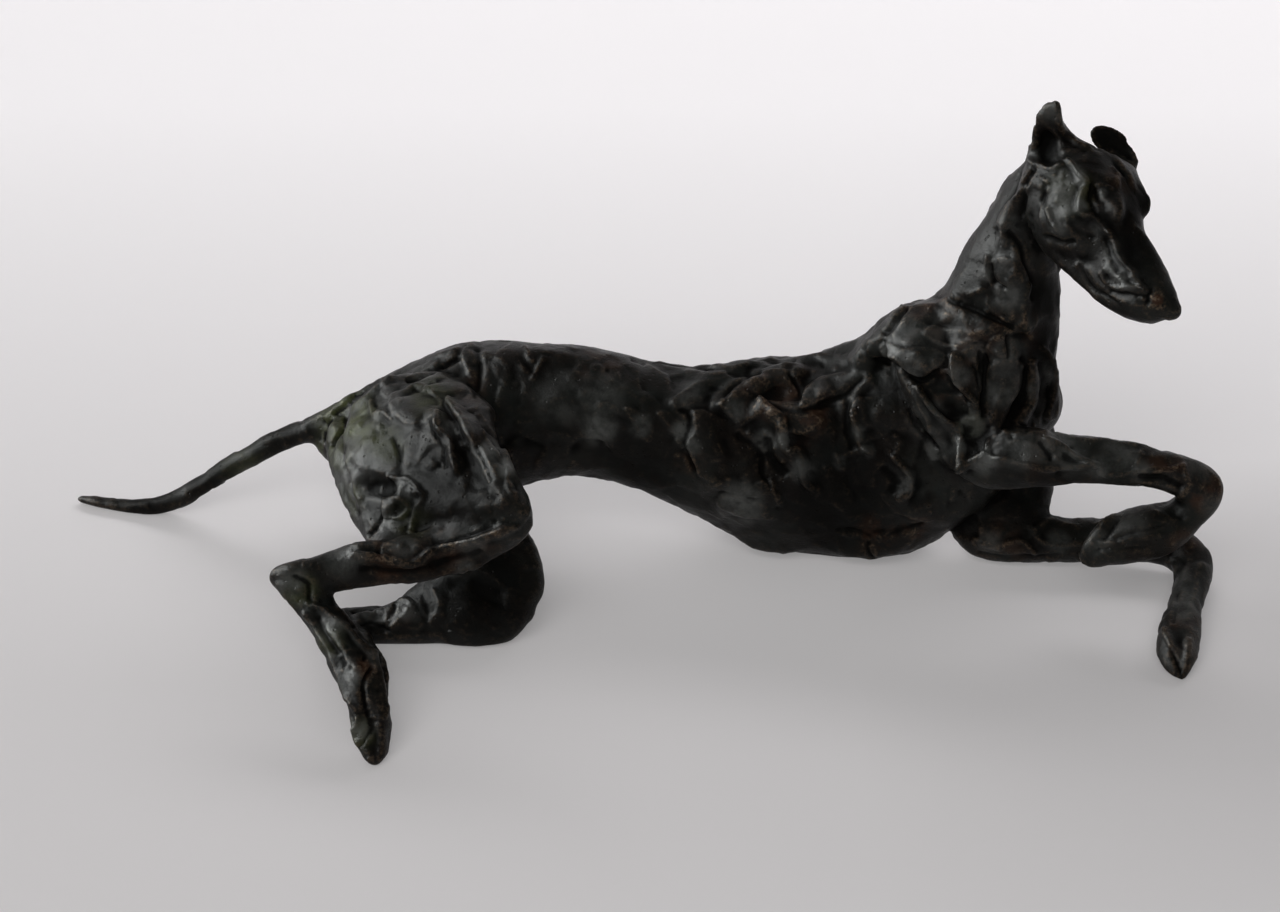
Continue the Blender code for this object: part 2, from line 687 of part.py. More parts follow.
def stand_at_origin(mesh):
    """Put the middle of the footprint at the origin, with the resting patches exactly at z = 0."""
    corners = np.array([vertex.co for vertex in mesh.vertices])
    middle = (corners.min(axis=0) + corners.max(axis=0)) / 2
    mesh.transform(Matrix.Translation((-middle[0], -middle[1], 0.0)))
    for vertex in mesh.vertices:
        if vertex.co.z < REST_SNAP * SHARE:
            vertex.co.z = 0.0


def main():
    for thing in list(bpy.data.objects):
        bpy.data.objects.remove(thing, do_unlink=True)
    group = bpy.data.collections.new("greyhound statue")
    bpy.context.scene.collection.children.link(group)
    body = bpy.data.objects.new("greyhound", bpy.data.meshes.new("greyhound"))
    group.objects.link(body)

    clay = bmesh.new()
    figure(clay)
    skin = fused(body, clay, SKIN_SMOOTHING)
    mould(skin, BACK_STROKES + RIB_STROKES + SHOULDER_STROKES + NECK_STROKES + FORELEG_STROKES
          + HAUNCH_STROKES + HIND_LEG_STROKES + FACE_STROKES)
    mould(skin, far_strokes(BACK_STROKES + RIB_STROKES + SHOULDER_STROKES[:3] + NECK_STROKES[:1]),
          far=True)
    soften(body, STROKE_SMOOTHING)
    skin = evaluated_mesh(body)
    body.modifiers.clear()
    rest_on_floor(skin)
    body.data = skin

    thin = body.modifiers.new("thin", "DECIMATE")
    thin.use_collapse_triangulate = True
    thin.ratio = SKIN_FACETS / sum(len(face.vertices) - 2 for face in skin.polygons)
    facets = evaluated_mesh(body)
    body.modifiers.clear()
    stand_at_origin(facets)
    body.data = facets
    facets.materials.clear()
    facets.materials.append(bronze())
    facets.shade_flat()


main()
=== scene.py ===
"""Bronze greyhound lying with its head raised: the finished skin, patina, floor and light."""
import math

import bmesh
import bpy
import numpy as np
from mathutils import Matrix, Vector


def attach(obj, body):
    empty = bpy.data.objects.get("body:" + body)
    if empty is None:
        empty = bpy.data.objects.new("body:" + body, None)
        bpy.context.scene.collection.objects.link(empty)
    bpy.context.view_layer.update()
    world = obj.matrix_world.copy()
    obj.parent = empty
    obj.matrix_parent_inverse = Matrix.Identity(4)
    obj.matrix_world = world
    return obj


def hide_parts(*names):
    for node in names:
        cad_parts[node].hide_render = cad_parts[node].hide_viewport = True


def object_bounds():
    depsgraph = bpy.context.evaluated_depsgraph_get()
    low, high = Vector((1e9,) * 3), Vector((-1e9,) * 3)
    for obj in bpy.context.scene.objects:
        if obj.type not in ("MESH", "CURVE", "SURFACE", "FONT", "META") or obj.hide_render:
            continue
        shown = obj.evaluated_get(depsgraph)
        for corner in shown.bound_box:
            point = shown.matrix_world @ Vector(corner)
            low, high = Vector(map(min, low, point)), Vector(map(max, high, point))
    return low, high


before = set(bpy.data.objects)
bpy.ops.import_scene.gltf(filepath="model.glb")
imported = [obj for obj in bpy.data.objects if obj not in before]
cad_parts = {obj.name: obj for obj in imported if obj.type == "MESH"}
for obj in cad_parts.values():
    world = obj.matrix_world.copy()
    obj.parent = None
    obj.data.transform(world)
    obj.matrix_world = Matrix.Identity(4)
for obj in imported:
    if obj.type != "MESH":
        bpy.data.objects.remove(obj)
solid_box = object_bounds()


# The camera: a long lens in front of the statue and 35 degrees above it.
# The photograph is 1280 by 912, and a place on it is (u, v) in its pixels.
# One share is the size on the statue that a pixel covers half way into it.
LENGTH_SHARES = 558.2
SHARE = (solid_box[1][0] - solid_box[0][0]) / LENGTH_SHARES
FOOTPRINT_MIDDLE = np.array((-3.41, -48.12, 0.0))
PICTURE_SIZE = (1280, 912)
PICTURE_MIDDLE = np.array((640.0, 456.0))
REACH = 2932.0
RISE = math.radians(35.0)
AIM = np.array((0.0, 0.0, 60.0))
STAND_OFF = 1400.0
SENSOR_WIDTH = 36.0
FURTHEST = 20.0

towards_eye = np.array((0.0, -math.cos(RISE), math.sin(RISE)))
up_picture = np.array((0.0, math.sin(RISE), math.cos(RISE)))
eye = (AIM + STAND_OFF * towards_eye - FOOTPRINT_MIDDLE) * SHARE

lens = bpy.data.cameras.new("camera")
lens.sensor_width = SENSOR_WIDTH
lens.lens = SENSOR_WIDTH * REACH / PICTURE_SIZE[0]
lens.clip_end = FURTHEST
camera = bpy.data.objects.new("camera", lens)
camera.location = eye
camera.rotation_euler = (math.pi / 2 - RISE, 0.0, 0.0)
bpy.context.scene.collection.objects.link(camera)
bpy.context.scene.camera = camera


def on_picture(places):
    """Places in metres as (u, v) pixels and distance: a pinhole view along the camera's axis."""
    offset = places - eye
    away = -(offset @ towards_eye)
    return np.stack((PICTURE_MIDDLE[0] + REACH * offset[:, 0] / away,
                     PICTURE_MIDDLE[1] - REACH * (offset @ up_picture) / away), axis=1), away


# The casting's skin: one hollow bronze shell, cast from clay that was pressed on in pads.
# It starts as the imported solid, with its facets rounded away on a grid finer than the pads.
SAME_CORNER = 0.000001
SKIN_GRID = 0.0010
FACET_ROUNDS = 6


def live_mesh(thing):
    """The object's mesh with its modifiers applied."""
    graph = bpy.context.evaluated_depsgraph_get()
    return bpy.data.meshes.new_from_object(thing.evaluated_get(graph))


def rounded_copy(node):
    """A finely meshed copy of a faceted node: merged, subdivided once, remeshed and smoothed."""
    loose = node.data.copy()
    joined = bmesh.new()
    joined.from_mesh(loose)
    bmesh.ops.remove_doubles(joined, verts=joined.verts, dist=SAME_CORNER)
    joined.to_mesh(loose)
    joined.free()
    thing = bpy.data.objects.new("greyhound_bronze", loose)
    bpy.context.scene.collection.objects.link(thing)
    round_off = thing.modifiers.new("round", "SUBSURF")
    round_off.levels = 1
    round_off.render_levels = 1
    grid = thing.modifiers.new("grid", "REMESH")
    grid.mode = "VOXEL"
    grid.voxel_size = SKIN_GRID
    soften = thing.modifiers.new("soften", "SMOOTH")
    soften.iterations = FACET_ROUNDS
    skin = live_mesh(thing)
    thing.modifiers.clear()
    thing.data = skin
    return thing


greyhound = rounded_copy(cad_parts["greyhound"])


def read_floats(items, name, width):
    """A mesh's own numbers as an array with one row for each item."""
    values = np.empty(len(items) * width)
    items.foreach_get(name, values)
    return values.reshape(-1, width)


skin = greyhound.data
places = read_floats(skin.vertices, "co", 3)
bonds = np.empty(len(skin.edges) * 2, dtype=np.int64)
skin.edges.foreach_get("vertices", bonds)
bonds = bonds.reshape(-1, 2)
bond_count = np.bincount(bonds.ravel(), minlength=len(places))


def averaged(values, rounds):
    """Values blurred over the skin: each round takes the mean of a vertex and its neighbours' mean."""
    for _ in range(rounds):
        sums = np.stack([np.bincount(bonds[:, 0], weights=column[bonds[:, 1]], minlength=len(column))
                         + np.bincount(bonds[:, 1], weights=column[bonds[:, 0]], minlength=len(column))
                         for column in values.T], axis=1)
        values = 0.5 * values + 0.5 * sums / bond_count[:, None]
    return values


def smoothstep(values):
    """Nought to one with level ends: 3 t squared less 2 t cubed."""
    t = np.clip(values, 0.0, 1.0)
    return t * t * (3.0 - 2.0 * t)


NOISE_SEED = 7
NOISE_CELLS = 32
noise_table = np.random.default_rng(NOISE_SEED).uniform(-1.0, 1.0, (NOISE_CELLS,) * 3)


def lumps(spots, size, shift=0.0):
    """Value noise from -1 to 1: random numbers on a lattice of this size, blended by smoothstep."""
    scaled = spots / size + shift
    corner = np.floor(scaled).astype(np.int64)
    x, y, z = smoothstep(scaled - corner).T
    total = np.zeros(len(spots))
    for i in (0, 1):
        for j in (0, 1):
            for k in (0, 1):
                weight = (x if i else 1 - x) * (y if j else 1 - y) * (z if k else 1 - z)
                cell = (corner + (i, j, k)) % NOISE_CELLS
                total += weight * noise_table[cell[:, 0], cell[:, 1], cell[:, 2]]
    return total


# What the photograph sees: vertices that face the camera with nothing in front of them.
BURY = 0.006
BURY_AT_OUTLINE = 0.012
CELL = 4.0
FACING_SHARE = 0.30
TURNED_AWAY = 0.45
NORMAL_ROUNDS = 3

normals = averaged(read_floats(skin.vertex_normals, "vector", 3), NORMAL_ROUNDS)
normals /= np.linalg.norm(normals, axis=1)[:, None]
picture, away = on_picture(places)
cells = np.floor(picture / CELL).astype(np.int64)
cell_key = cells[:, 1] * int(PICTURE_SIZE[0] / CELL + 1) + cells[:, 0]
nearest = np.full(cell_key.max() + 1, np.inf)
np.minimum.at(nearest, cell_key, away)
sight = (eye - places) / np.linalg.norm(eye - places, axis=1)[:, None]
facing = np.sum(normals * sight, axis=1)
seen = smoothstep(facing / FACING_SHARE) * (away < nearest[cell_key] + BURY)
at_outline = smoothstep(1.0 + facing / TURNED_AWAY) * (away < nearest[cell_key] + BURY_AT_OUTLINE)

# Rims of pads wander a little, as clay does under a thumb
WANDER = 2.2
WANDER_SIZE = 0.007
WANDER_SHIFTS = (0.0, 9.3)
wandering = picture + WANDER * np.stack([lumps(places, WANDER_SIZE, shift) for shift in WANDER_SHIFTS],
                                        axis=1)

CURVE_STEPS = 5


def curve(points, closed):
    """A Catmull-Rom curve through the points, with CURVE_STEPS steps from each to the next."""
    keys = np.array(points, dtype=float)
    if closed:
        padded = np.vstack((keys[-1], keys, keys[0], keys[1]))
    else:
        padded = np.vstack((2 * keys[0] - keys[1], keys, 2 * keys[-1] - keys[-2]))
    t = (np.arange(CURVE_STEPS) / CURVE_STEPS)[:, None]
    runs = [0.5 * (2 * b + (c - a) * t + (2 * a - 5 * b + 4 * c - d) * t ** 2
                   + (3 * b - a - 3 * c + d) * t ** 3)
            for a, b, c, d in zip(padded, padded[1:], padded[2:], padded[3:])]
    return np.vstack(runs + [keys[:1] if closed else keys[-1:]])


TINY = 1e-6
GENTLE = 1.5
GENTLE_WAY = np.array((0.83, 0.55))


def from_line(spots, line):
    """For each spot, the distance to the nearest point of a broken line, by dropping a perpendicular
    on each piece of it; how far the spot is to the line's left, by a cross product; and the share of
    that distance which runs the gentle way, by a dot product."""
    best = np.full(len(spots), np.inf)
    side = np.zeros(len(spots))
    away_side = np.zeros(len(spots))
    for start, end in zip(line, line[1:]):
        along = end - start
        length = max(float(np.hypot(*along)), TINY)
        offset = spots - start
        share = np.clip((offset @ along) / length ** 2, 0.0, 1.0)
        apart = offset - share[:, None] * along
        gap = np.hypot(*apart.T)
        across = (offset[:, 0] * along[1] - offset[:, 1] * along[0]) / length
        closer = gap < best
        best[closer] = gap[closer]
        side[closer] = across[closer]
        away_side[closer] = (apart @ GENTLE_WAY / (gap + TINY))[closer]
    return best, side, away_side


def within(spots, line):
    """Whether spots lie inside a closed line: an odd number of crossings on the way out."""
    inside = np.zeros(len(spots), dtype=bool)
    for start, end in zip(line, line[1:]):
        straddles = (start[1] > spots[:, 1]) != (end[1] > spots[:, 1])
        rise = end[1] - start[1] if end[1] != start[1] else TINY
        reach = start[0] + (spots[:, 1] - start[1]) / rise * (end[0] - start[0])
        inside ^= straddles & (spots[:, 0] < reach)
    return inside


MILLIMETRE = 0.001
relief = np.zeros(len(places))


def near(line, margin):
    """The seen vertices in a line's own rectangle, grown by a margin."""
    low = line.min(axis=0) - margin
    high = line.max(axis=0) + margin
    return np.nonzero((seen > 0.0) & np.all((wandering > low) & (wandering < high), axis=1))[0]


def press_strokes(strokes):
    """Ridges, and grooves where the height is minus, along lines of the photograph.
    Height falls by smoothstep over the rim's share of the half width. A lean, where a row ends
    with one, raises the left side by that share and lowers the right.
    A ridge is steep towards the upper left and runs out gently the other way, up to GENTLE further."""
    for path, half, height, rim, *lean in strokes:
        line = curve(path, False)
        chosen = near(line, half * (1.0 + GENTLE))
        gap, side, away_side = from_line(wandering[chosen], line)
        reach = half * (1.0 + (GENTLE * np.maximum(away_side, 0.0) if height > 0.0 else 0.0))
        fade = smoothstep((1.0 - gap / reach) / np.where(reach > half, 1.0, rim))
        relief[chosen] += height * fade * (1.0 + sum(lean) * np.clip(side / half, -1.0, 1.0))


def lay_pads(pads):
    """Flat pads inside closed lines of the photograph.
    Height rises by smoothstep across the rim, and is full on the side that the lean points to,
    or everywhere where the lean is nought."""
    for outline, height, rim, lean in pads:
        line = curve(outline, True)
        chosen = near(line, rim)
        spots = wandering[chosen]
        gap, _, _ = from_line(spots, line)
        depth = np.where(within(spots, line), gap, -gap)
        middle = line.mean(axis=0)
        radius = np.hypot(*(line - middle).T).max()
        slope = np.clip(0.5 + 0.5 * ((spots - middle) @ np.array(lean)) / radius, 0.0, 1.0)
        share = slope if any(lean) else np.ones(len(chosen))
        relief[chosen] += height * smoothstep(0.5 + depth / rim) * share


def press_dents(dents):
    """Round knobs, and pits where the height is minus: a smoothstep bell at a place."""
    for u, v, radius, height in dents:
        place = np.array((u, v), dtype=float)
        chosen = near(place[None, :], radius)
        gap = np.hypot(*(wandering[chosen] - place).T)
        relief[chosen] += height * smoothstep(1.0 - gap / radius)


# The back and ribs: clay plates laid one over the next, highest on the edge that catches light.
# Pads are (outline, height, rim, lean), strokes (line, half width, height, rim's share, any lean)
# and dents (u, v, radius, height): places and widths in the photograph's pixels, heights in mm.
RIB_PADS = (
    (((673, 402), (690, 386), (712, 377), (742, 373), (736, 386), (714, 394), (700, 402), (680, 409)),
     1.5, 3, (-0.6, 0.2)),
    (((719, 402), (730, 392), (745, 378), (770, 369), (796, 374), (793, 387), (773, 388), (762, 398),
      (766, 410), (748, 421), (738, 426), (726, 413)), 2.4, 3, (-0.8, 0.3)),
    (((800, 402), (808, 387), (828, 377), (856, 373), (850, 384), (836, 393), (816, 402), (805, 408)),
     2.0, 3, (-0.6, -0.3)),
    (((768, 410), (790, 412), (822, 416), (820, 428), (800, 434), (778, 428)), 1.8, 6, (0.0, 0.0)),
    (((692, 414), (704, 411), (727, 420), (748, 433), (760, 455), (758, 472), (744, 484), (716, 484),
      (699, 476), (694, 462), (687, 446), (693, 432)), 1.8, 2.5, (-1.0, 0.0)),
    (((716, 498), (733, 493), (752, 501), (768, 508), (760, 517), (738, 515), (722, 507)),
     2.3, 3, (-0.3, -0.5)),
    (((706, 484), (728, 483), (748, 487), (770, 480), (773, 493), (752, 498), (726, 493)),
     1.2, 3, (0.5, -0.4)),
    (((853, 401), (870, 396), (891, 392), (896, 408), (896, 424), (880, 438), (861, 443), (855, 427)),
     1.6, 3, (-0.9, 0.1)),
    (((592, 417), (600, 402), (617, 407), (615, 423), (598, 432)), 1.3, 4, (-0.6, -0.3)),
    (((625, 408), (640, 412), (655, 428), (650, 441), (636, 430)), 1.7, 2.5, (-0.8, 0.4)),
    (((657, 412), (672, 414), (690, 436), (697, 462), (684, 448), (668, 430)), 1.7, 2.5, (-0.8, 0.5)),
    (((738, 536), (752, 531), (770, 536), (784, 545), (776, 553), (754, 550)), 1.8, 5, (0.0, 0.6)),
    (((838, 534), (856, 530), (871, 534), (870, 552), (850, 556), (838, 548)), 1.8, 5, (0.0, 0.4)),
    (((874, 534), (894, 530), (916, 528), (908, 546), (886, 556), (874, 551)), 1.8, 5, (0.0, 0.4)),
)
RIB_STROKES = (
    (((760, 402), (773, 411), (780, 423), (782, 443), (785, 450)), 4.5, 2.0, 0.7, 0.3),
    (((772, 480), (773, 493), (779, 503)), 3.0, 1.1, 0.7),
    (((789, 454), (797, 452), (800, 467), (804, 480), (814, 489)), 5.0, 1.9, 0.6, 0.3),
    (((738, 435), (760, 453), (762, 473), (774, 491)), 5.0, -1.1, 0.9),
    (((766, 440), (770, 458), (786, 474)), 7.0, -1.6, 0.9),
    (((853, 410), (856, 428), (859, 443), (868, 451)), 3.2, 1.5, 0.6),
    (((846, 400), (848, 430), (852, 447)), 5.0, -1.3, 0.9),
    (((836, 456), (843, 468)), 3.5, 1.5, 0.6),
    (((840, 457), (853, 452), (868, 450)), 2.5, 0.9, 0.7),
    (((893, 456), (903, 467), (911, 480), (909, 490), (897, 497)), 3.2, 2.0, 0.5),
    (((886, 470), (894, 482), (892, 492)), 8.0, -1.4, 1.0),
    (((898, 442), (895, 454)), 2.5, 0.8, 0.6),
    (((838, 529), (856, 531), (868, 535)), 3.2, -0.9, 0.8),
    (((884, 534), (905, 530), (922, 524)), 3.0, -0.7, 0.8),
    (((868, 543), (872, 557)), 3.2, -1.5, 0.8),
    (((687, 373), (716, 368), (747, 366)), 3.5, 0.7, 0.8),
    (((783, 366), (807, 358), (848, 358)), 5.0, 0.8, 0.7),
    (((746, 376), (767, 367), (790, 368)), 3.5, -1.0, 0.8),
    (((725, 397), (741, 381), (760, 371)), 4.0, -1.5, 0.8),
    (((800, 399), (799, 386), (790, 374)), 3.5, -1.3, 0.8),
    (((805, 410), (828, 402), (849, 393), (862, 380)), 4.5, -1.4, 0.9),
    (((683, 411), (690, 416), (686, 440), (693, 470)), 4.0, -1.3, 0.8),
    (((722, 430), (730, 452)), 9.0, -0.6, 1.0),
    (((880, 505), (905, 512), (930, 503)), 8.0, 0.9, 1.0),
    (((826, 470), (834, 500), (850, 515)), 8.0, 0.8, 1.0),
    (((848, 478), (856, 500), (868, 512)), 6.0, -0.8, 1.0),
    (((953, 488), (951, 499)), 2.5, 1.0, 0.7),
    (((569, 374), (600, 380), (640, 396)), 8.0, 0.7, 1.0),
    (((632, 358), (644, 363)), 3.5, -1.2, 0.8),
    (((575, 395), (582, 420), (600, 440)), 9.0, -0.6, 1.0),
)
RIB_DENTS = (
    (595, 367, 5, 0.9), (607, 371, 4, -0.9), (616, 376, 5, 0.9), (610, 381, 4, 0.7), (679, 441, 4, 0.8),
    (685, 450, 4, -0.8), (676, 456, 5, 0.9), (686, 462, 4, 0.8), (680, 470, 4, -0.8),
    (672, 474, 4, 0.7), (750, 434, 5, 1.2), (758, 442, 4, -1.0), (766, 434, 5, 1.2), (774, 448, 4, 1.0),
    (764, 450, 4, 1.0), (756, 456, 4, -0.9), (780, 462, 4, 0.9), (728, 408, 5, 1.0),
    (900, 484, 5, -1.2), (927, 504, 4, 1.1), (929, 511, 3, 0.8), (812, 372, 4, 0.8),
    (822, 366, 4, -0.8), (836, 368, 5, 0.8), (870, 520, 4, 0.9), (877, 536, 5, 1.2), (884, 533, 4, 0.8),
    (903, 534, 4, 0.8), (843, 530, 4, 0.8), (795, 520, 6, 0.8), (806, 530, 6, -0.7), (728, 478, 5, 0.7),
    (744, 476, 5, 0.7),
)
lay_pads(RIB_PADS)
press_strokes(RIB_STROKES)
press_dents(RIB_DENTS)

# The shoulder and neck: strips of clay hung from the withers and drawn down to the elbow.
# They overlap like bandages, so each has one sharp edge and one that runs out.
SHOULDER_PADS = (
    (((899, 310), (920, 302), (945, 309), (951, 317), (936, 326), (927, 335), (930, 341), (914, 343),
      (895, 340), (891, 327)), 1.5, 4, (-0.3, -0.4)),
    (((879, 346), (887, 341), (902, 346), (922, 347), (946, 355), (942, 364), (931, 371), (921, 375),
      (911, 371), (901, 363), (889, 357), (881, 353)), 2.8, 2.2, (-0.5, 0.8)),
    (((925, 332), (932, 325), (950, 326), (970, 330), (992, 325), (1001, 332), (981, 336), (968, 343),
      (958, 348), (942, 346), (930, 340)), 2.2, 2.6, (-0.4, 0.4)),
    (((952, 356), (960, 342), (974, 336), (985, 345), (985, 362), (981, 380), (978, 402), (974, 408),
      (967, 396), (957, 383), (951, 370)), 2.8, 2.2, (-0.9, 0.2)),
    (((987, 345), (995, 337), (1004, 335), (1005, 352), (1000, 360), (990, 361)), 1.7, 2.2, (-0.4, -0.3)),
    (((986, 375), (992, 364), (1010, 359), (1025, 365), (1022, 381), (1015, 396), (1007, 411),
      (995, 430), (987, 420), (984, 400)), 2.4, 2.6, (0.5, -0.5)),
    (((956, 420), (970, 415), (986, 420), (985, 433), (970, 441), (960, 433)), 1.1, 2.5, (0.0, 0.0)),
    (((924, 444), (935, 440), (949, 447), (947, 458), (932, 461), (925, 453)), 1.3, 2.5, (-0.4, 0.3)),
    (((991, 260), (1010, 258), (1020, 273), (1028, 285), (1021, 300), (1012, 305), (1005, 287),
      (995, 276)), 1.7, 2.5, (0.2, -0.5)),
    (((989, 285), (1000, 287), (1010, 300), (1015, 315), (1005, 322), (994, 315), (985, 304)),
     1.7, 2.5, (-0.3, 0.4)),
    (((925, 390), (945, 372), (960, 395), (970, 410), (955, 422), (936, 406)), -1.0, 4, (0.0, 0.0)),
    (((860, 346), (882, 324), (900, 306), (906, 309), (893, 327), (876, 342)), 1.4, 3, (-0.4, -0.5)),
)
SHOULDER_STROKES = (
    (((907, 309), (895, 327), (886, 333)), 3.2, -1.5, 0.8),
    (((876, 359), (895, 366), (910, 374), (925, 379), (940, 369), (947, 359)), 3.4, -1.7, 0.8),
    (((884, 350), (900, 360), (912, 369), (922, 373)), 2.8, 1.2, 0.6),
    (((952, 355), (951, 369), (957, 381), (967, 393), (975, 405), (977, 412)), 3.0, 1.7, 0.6),
    (((948, 377), (959, 391), (969, 403)), 3.2, -1.5, 0.8),
    (((986, 358), (985, 375), (981, 400), (982, 414)), 3.0, -1.3, 0.8),
    (((973, 362), (974, 374), (977, 388)), 2.0, -0.8, 0.8),
    (((1007, 337), (1008, 358)), 3.0, -1.3, 0.8),
    (((1013, 340), (1014, 356)), 4.0, 1.0, 0.8),
    (((1027, 366), (1021, 392), (1011, 415), (1001, 432)), 3.2, -1.0, 0.8),
    (((1029, 362), (1033, 377), (1029, 400), (1018, 422)), 4.2, 2.2, 0.6),
    (((1040, 348), (1050, 358), (1055, 372), (1052, 395), (1047, 416)), 3.2, 1.8, 0.6),
    (((1039, 366), (1042, 390), (1036, 416)), 5.0, -0.9, 0.9),
    (((919, 386), (932, 407), (952, 422), (959, 435), (960, 450), (963, 466)), 3.6, 2.4, 0.5, -0.3),
    (((928, 392), (944, 412), (956, 418)), 4.0, -1.0, 0.9),
    (((911, 381), (920, 402), (931, 432)), 2.6, 1.2, 0.6),
    (((906, 404), (915, 425), (926, 437)), 2.6, -1.2, 0.8),
    (((962, 466), (975, 461), (986, 455), (990, 442)), 3.2, 2.0, 0.6),
    (((990, 420), (997, 402), (1004, 378)), 2.6, 0.8, 0.8),
    (((1026, 189), (1008, 208), (1003, 227), (1004, 243)), 3.4, 1.7, 0.6, -0.3),
    (((1034, 170), (1026, 187), (1023, 212)), 3.6, -1.9, 0.8),
    (((1007, 231), (1015, 241), (1024, 258), (1031, 278), (1029, 300)), 4.2, -1.4, 0.8),
    (((987, 256), (986, 274), (990, 283)), 2.8, 1.7, 0.6),
    (((992, 264), (995, 280), (1008, 288)), 2.8, -1.7, 0.8),
    (((1028, 284), (1023, 310), (1028, 334)), 3.4, 1.4, 0.7),
    (((950, 298), (970, 308), (992, 318), (1012, 326)), 4.0, -1.2, 0.8),
    (((968, 293), (980, 290)), 3.0, 1.0, 0.7),
    (((1012, 240), (1016, 262), (1010, 280)), 5.0, 0.9, 0.9),
    (((1042, 178), (1048, 183), (1046, 190)), 2.2, 0.9, 0.7),
    (((1040, 206), (1043, 224)), 2.4, 0.9, 0.7),
    (((1047, 208), (1053, 222), (1058, 231)), 2.8, 1.4, 0.6),
    (((1046, 186), (1040, 201)), 3.2, -1.2, 0.8),
    (((1030, 215), (1032, 236), (1040, 250)), 5.0, -1.0, 1.0),
    (((962, 352), (972, 344), (984, 350)), 3.0, 0.8, 0.8),
)
SHOULDER_DENTS = (
    (954, 296, 4, 1.2), (961, 301, 4, -1.0), (986, 312, 4, 0.9), (1002, 318, 4, 0.9),
    (1000, 330, 5, -1.0), (1020, 322, 4, 0.8), (1035, 245, 3, -1.2), (1031, 241, 3, 0.9),
    (1056, 224, 3, 1.0), (1005, 356, 3, 0.9), (998, 352, 3, 0.8), (934, 362, 5, 0.8),
    (916, 354, 5, 0.8), (870, 350, 4, 0.8), (862, 358, 4, -0.8), (915, 412, 4, 0.9), (908, 420, 4, 0.8),
    (921, 424, 4, -0.8), (936, 450, 4, 0.9), (943, 455, 3, -0.8), (939, 433, 4, 0.8),
    (1012, 268, 4, -0.7), (1002, 296, 4, 0.7), (894, 436, 4, 0.8), (888, 452, 5, 0.7),
)
lay_pads(SHOULDER_PADS)
press_strokes(SHOULDER_STROKES)
press_dents(SHOULDER_DENTS)

# The forelegs: the near one folded over the far one, thin rods of clay with ridges down them.
# The knots at the elbow, wrist and toes are small balls of clay pressed on.
FORELEG_PADS = (
    (((995, 445), (1020, 439), (1040, 445), (1042, 458), (1020, 461), (1000, 458)), 1.1, 3, (-0.3, -0.5)),
    (((1166, 560), (1178, 559), (1189, 570), (1184, 577), (1172, 570)), 1.1, 2.5, (-0.4, -0.4)),
)
FORELEG_STROKES = (
    (((985, 457), (1007, 461), (1035, 467), (1060, 468), (1097, 466), (1101, 473)), 2.6, 1.4, 0.6),
    (((1045, 438), (1057, 445), (1075, 455), (1095, 466)), 3.4, 1.4, 0.6, 0.3),
    (((1041, 441), (1050, 458)), 5.0, -1.5, 0.9),
    (((1054, 457), (1064, 464)), 2.4, 0.8, 0.7),
    (((1104, 476), (1132, 473), (1152, 470), (1182, 467)), 2.6, 1.2, 0.6),
    (((1140, 478), (1160, 478), (1180, 486)), 6.0, -1.5, 0.9),
    (((1143, 449), (1137, 466)), 2.6, 0.8, 0.7),
    (((1184, 466), (1188, 482), (1180, 498)), 2.8, 1.2, 0.6),
    (((1055, 434), (1095, 440), (1145, 446)), 2.4, 0.8, 0.7),
    (((1110, 514), (1097, 530), (1090, 542), (1080, 558)), 4.0, 1.7, 0.6),
    (((1118, 520), (1104, 540)), 3.0, -0.9, 0.8),
    (((1095, 541), (1130, 534), (1165, 525)), 2.2, -0.7, 0.8),
    (((1098, 551), (1145, 547)), 2.2, -0.6, 0.8),
    (((1120, 541), (1160, 534)), 2.4, 0.6, 0.8),
    (((975, 540), (1000, 545), (1020, 542), (1033, 552)), 3.0, 1.4, 0.6),
    (((1030, 527), (1040, 540), (1060, 545), (1080, 542)), 3.0, 1.3, 0.6),
    (((1036, 530), (1050, 520), (1075, 526)), 3.2, 0.9, 0.8),
    (((980, 551), (1010, 556), (1060, 555)), 3.0, -0.7, 0.8),
    (((1165, 630), (1172, 648)), 3.0, 1.6, 0.6),
    (((1172, 650), (1181, 671)), 2.4, -1.7, 0.8),
    (((1187, 618), (1195, 585), (1200, 565)), 4.0, 0.8, 0.9),
    (((1176, 596), (1174, 622)), 3.6, -0.8, 0.9),
    (((1188, 640), (1186, 668)), 3.0, 1.0, 0.7),
)
FORELEG_DENTS = (
    (1005, 432, 5, 1.4), (1018, 427, 5, 1.3), (1026, 432, 4, -1.2), (1032, 426, 4, 1.2),
    (1045, 432, 4, 1.1), (995, 438, 4, 1.0), (988, 447, 4, 1.0), (1010, 437, 4, -1.0),
    (1092, 458, 3, 0.8), (1104, 470, 3, -0.8), (1120, 460, 4, 0.7), (1128, 456, 4, -0.6),
    (1186, 476, 4, 0.9), (1018, 541, 4, 1.0), (1024, 549, 4, 0.8), (1034, 531, 4, 0.9),
    (1176, 566, 4, 0.9), (1182, 679, 3, 1.2), (1085, 562, 4, 0.8), (1103, 524, 3, 0.7),
)
lay_pads(FORELEG_PADS)
press_strokes(FORELEG_STROKES)
press_dents(FORELEG_DENTS)

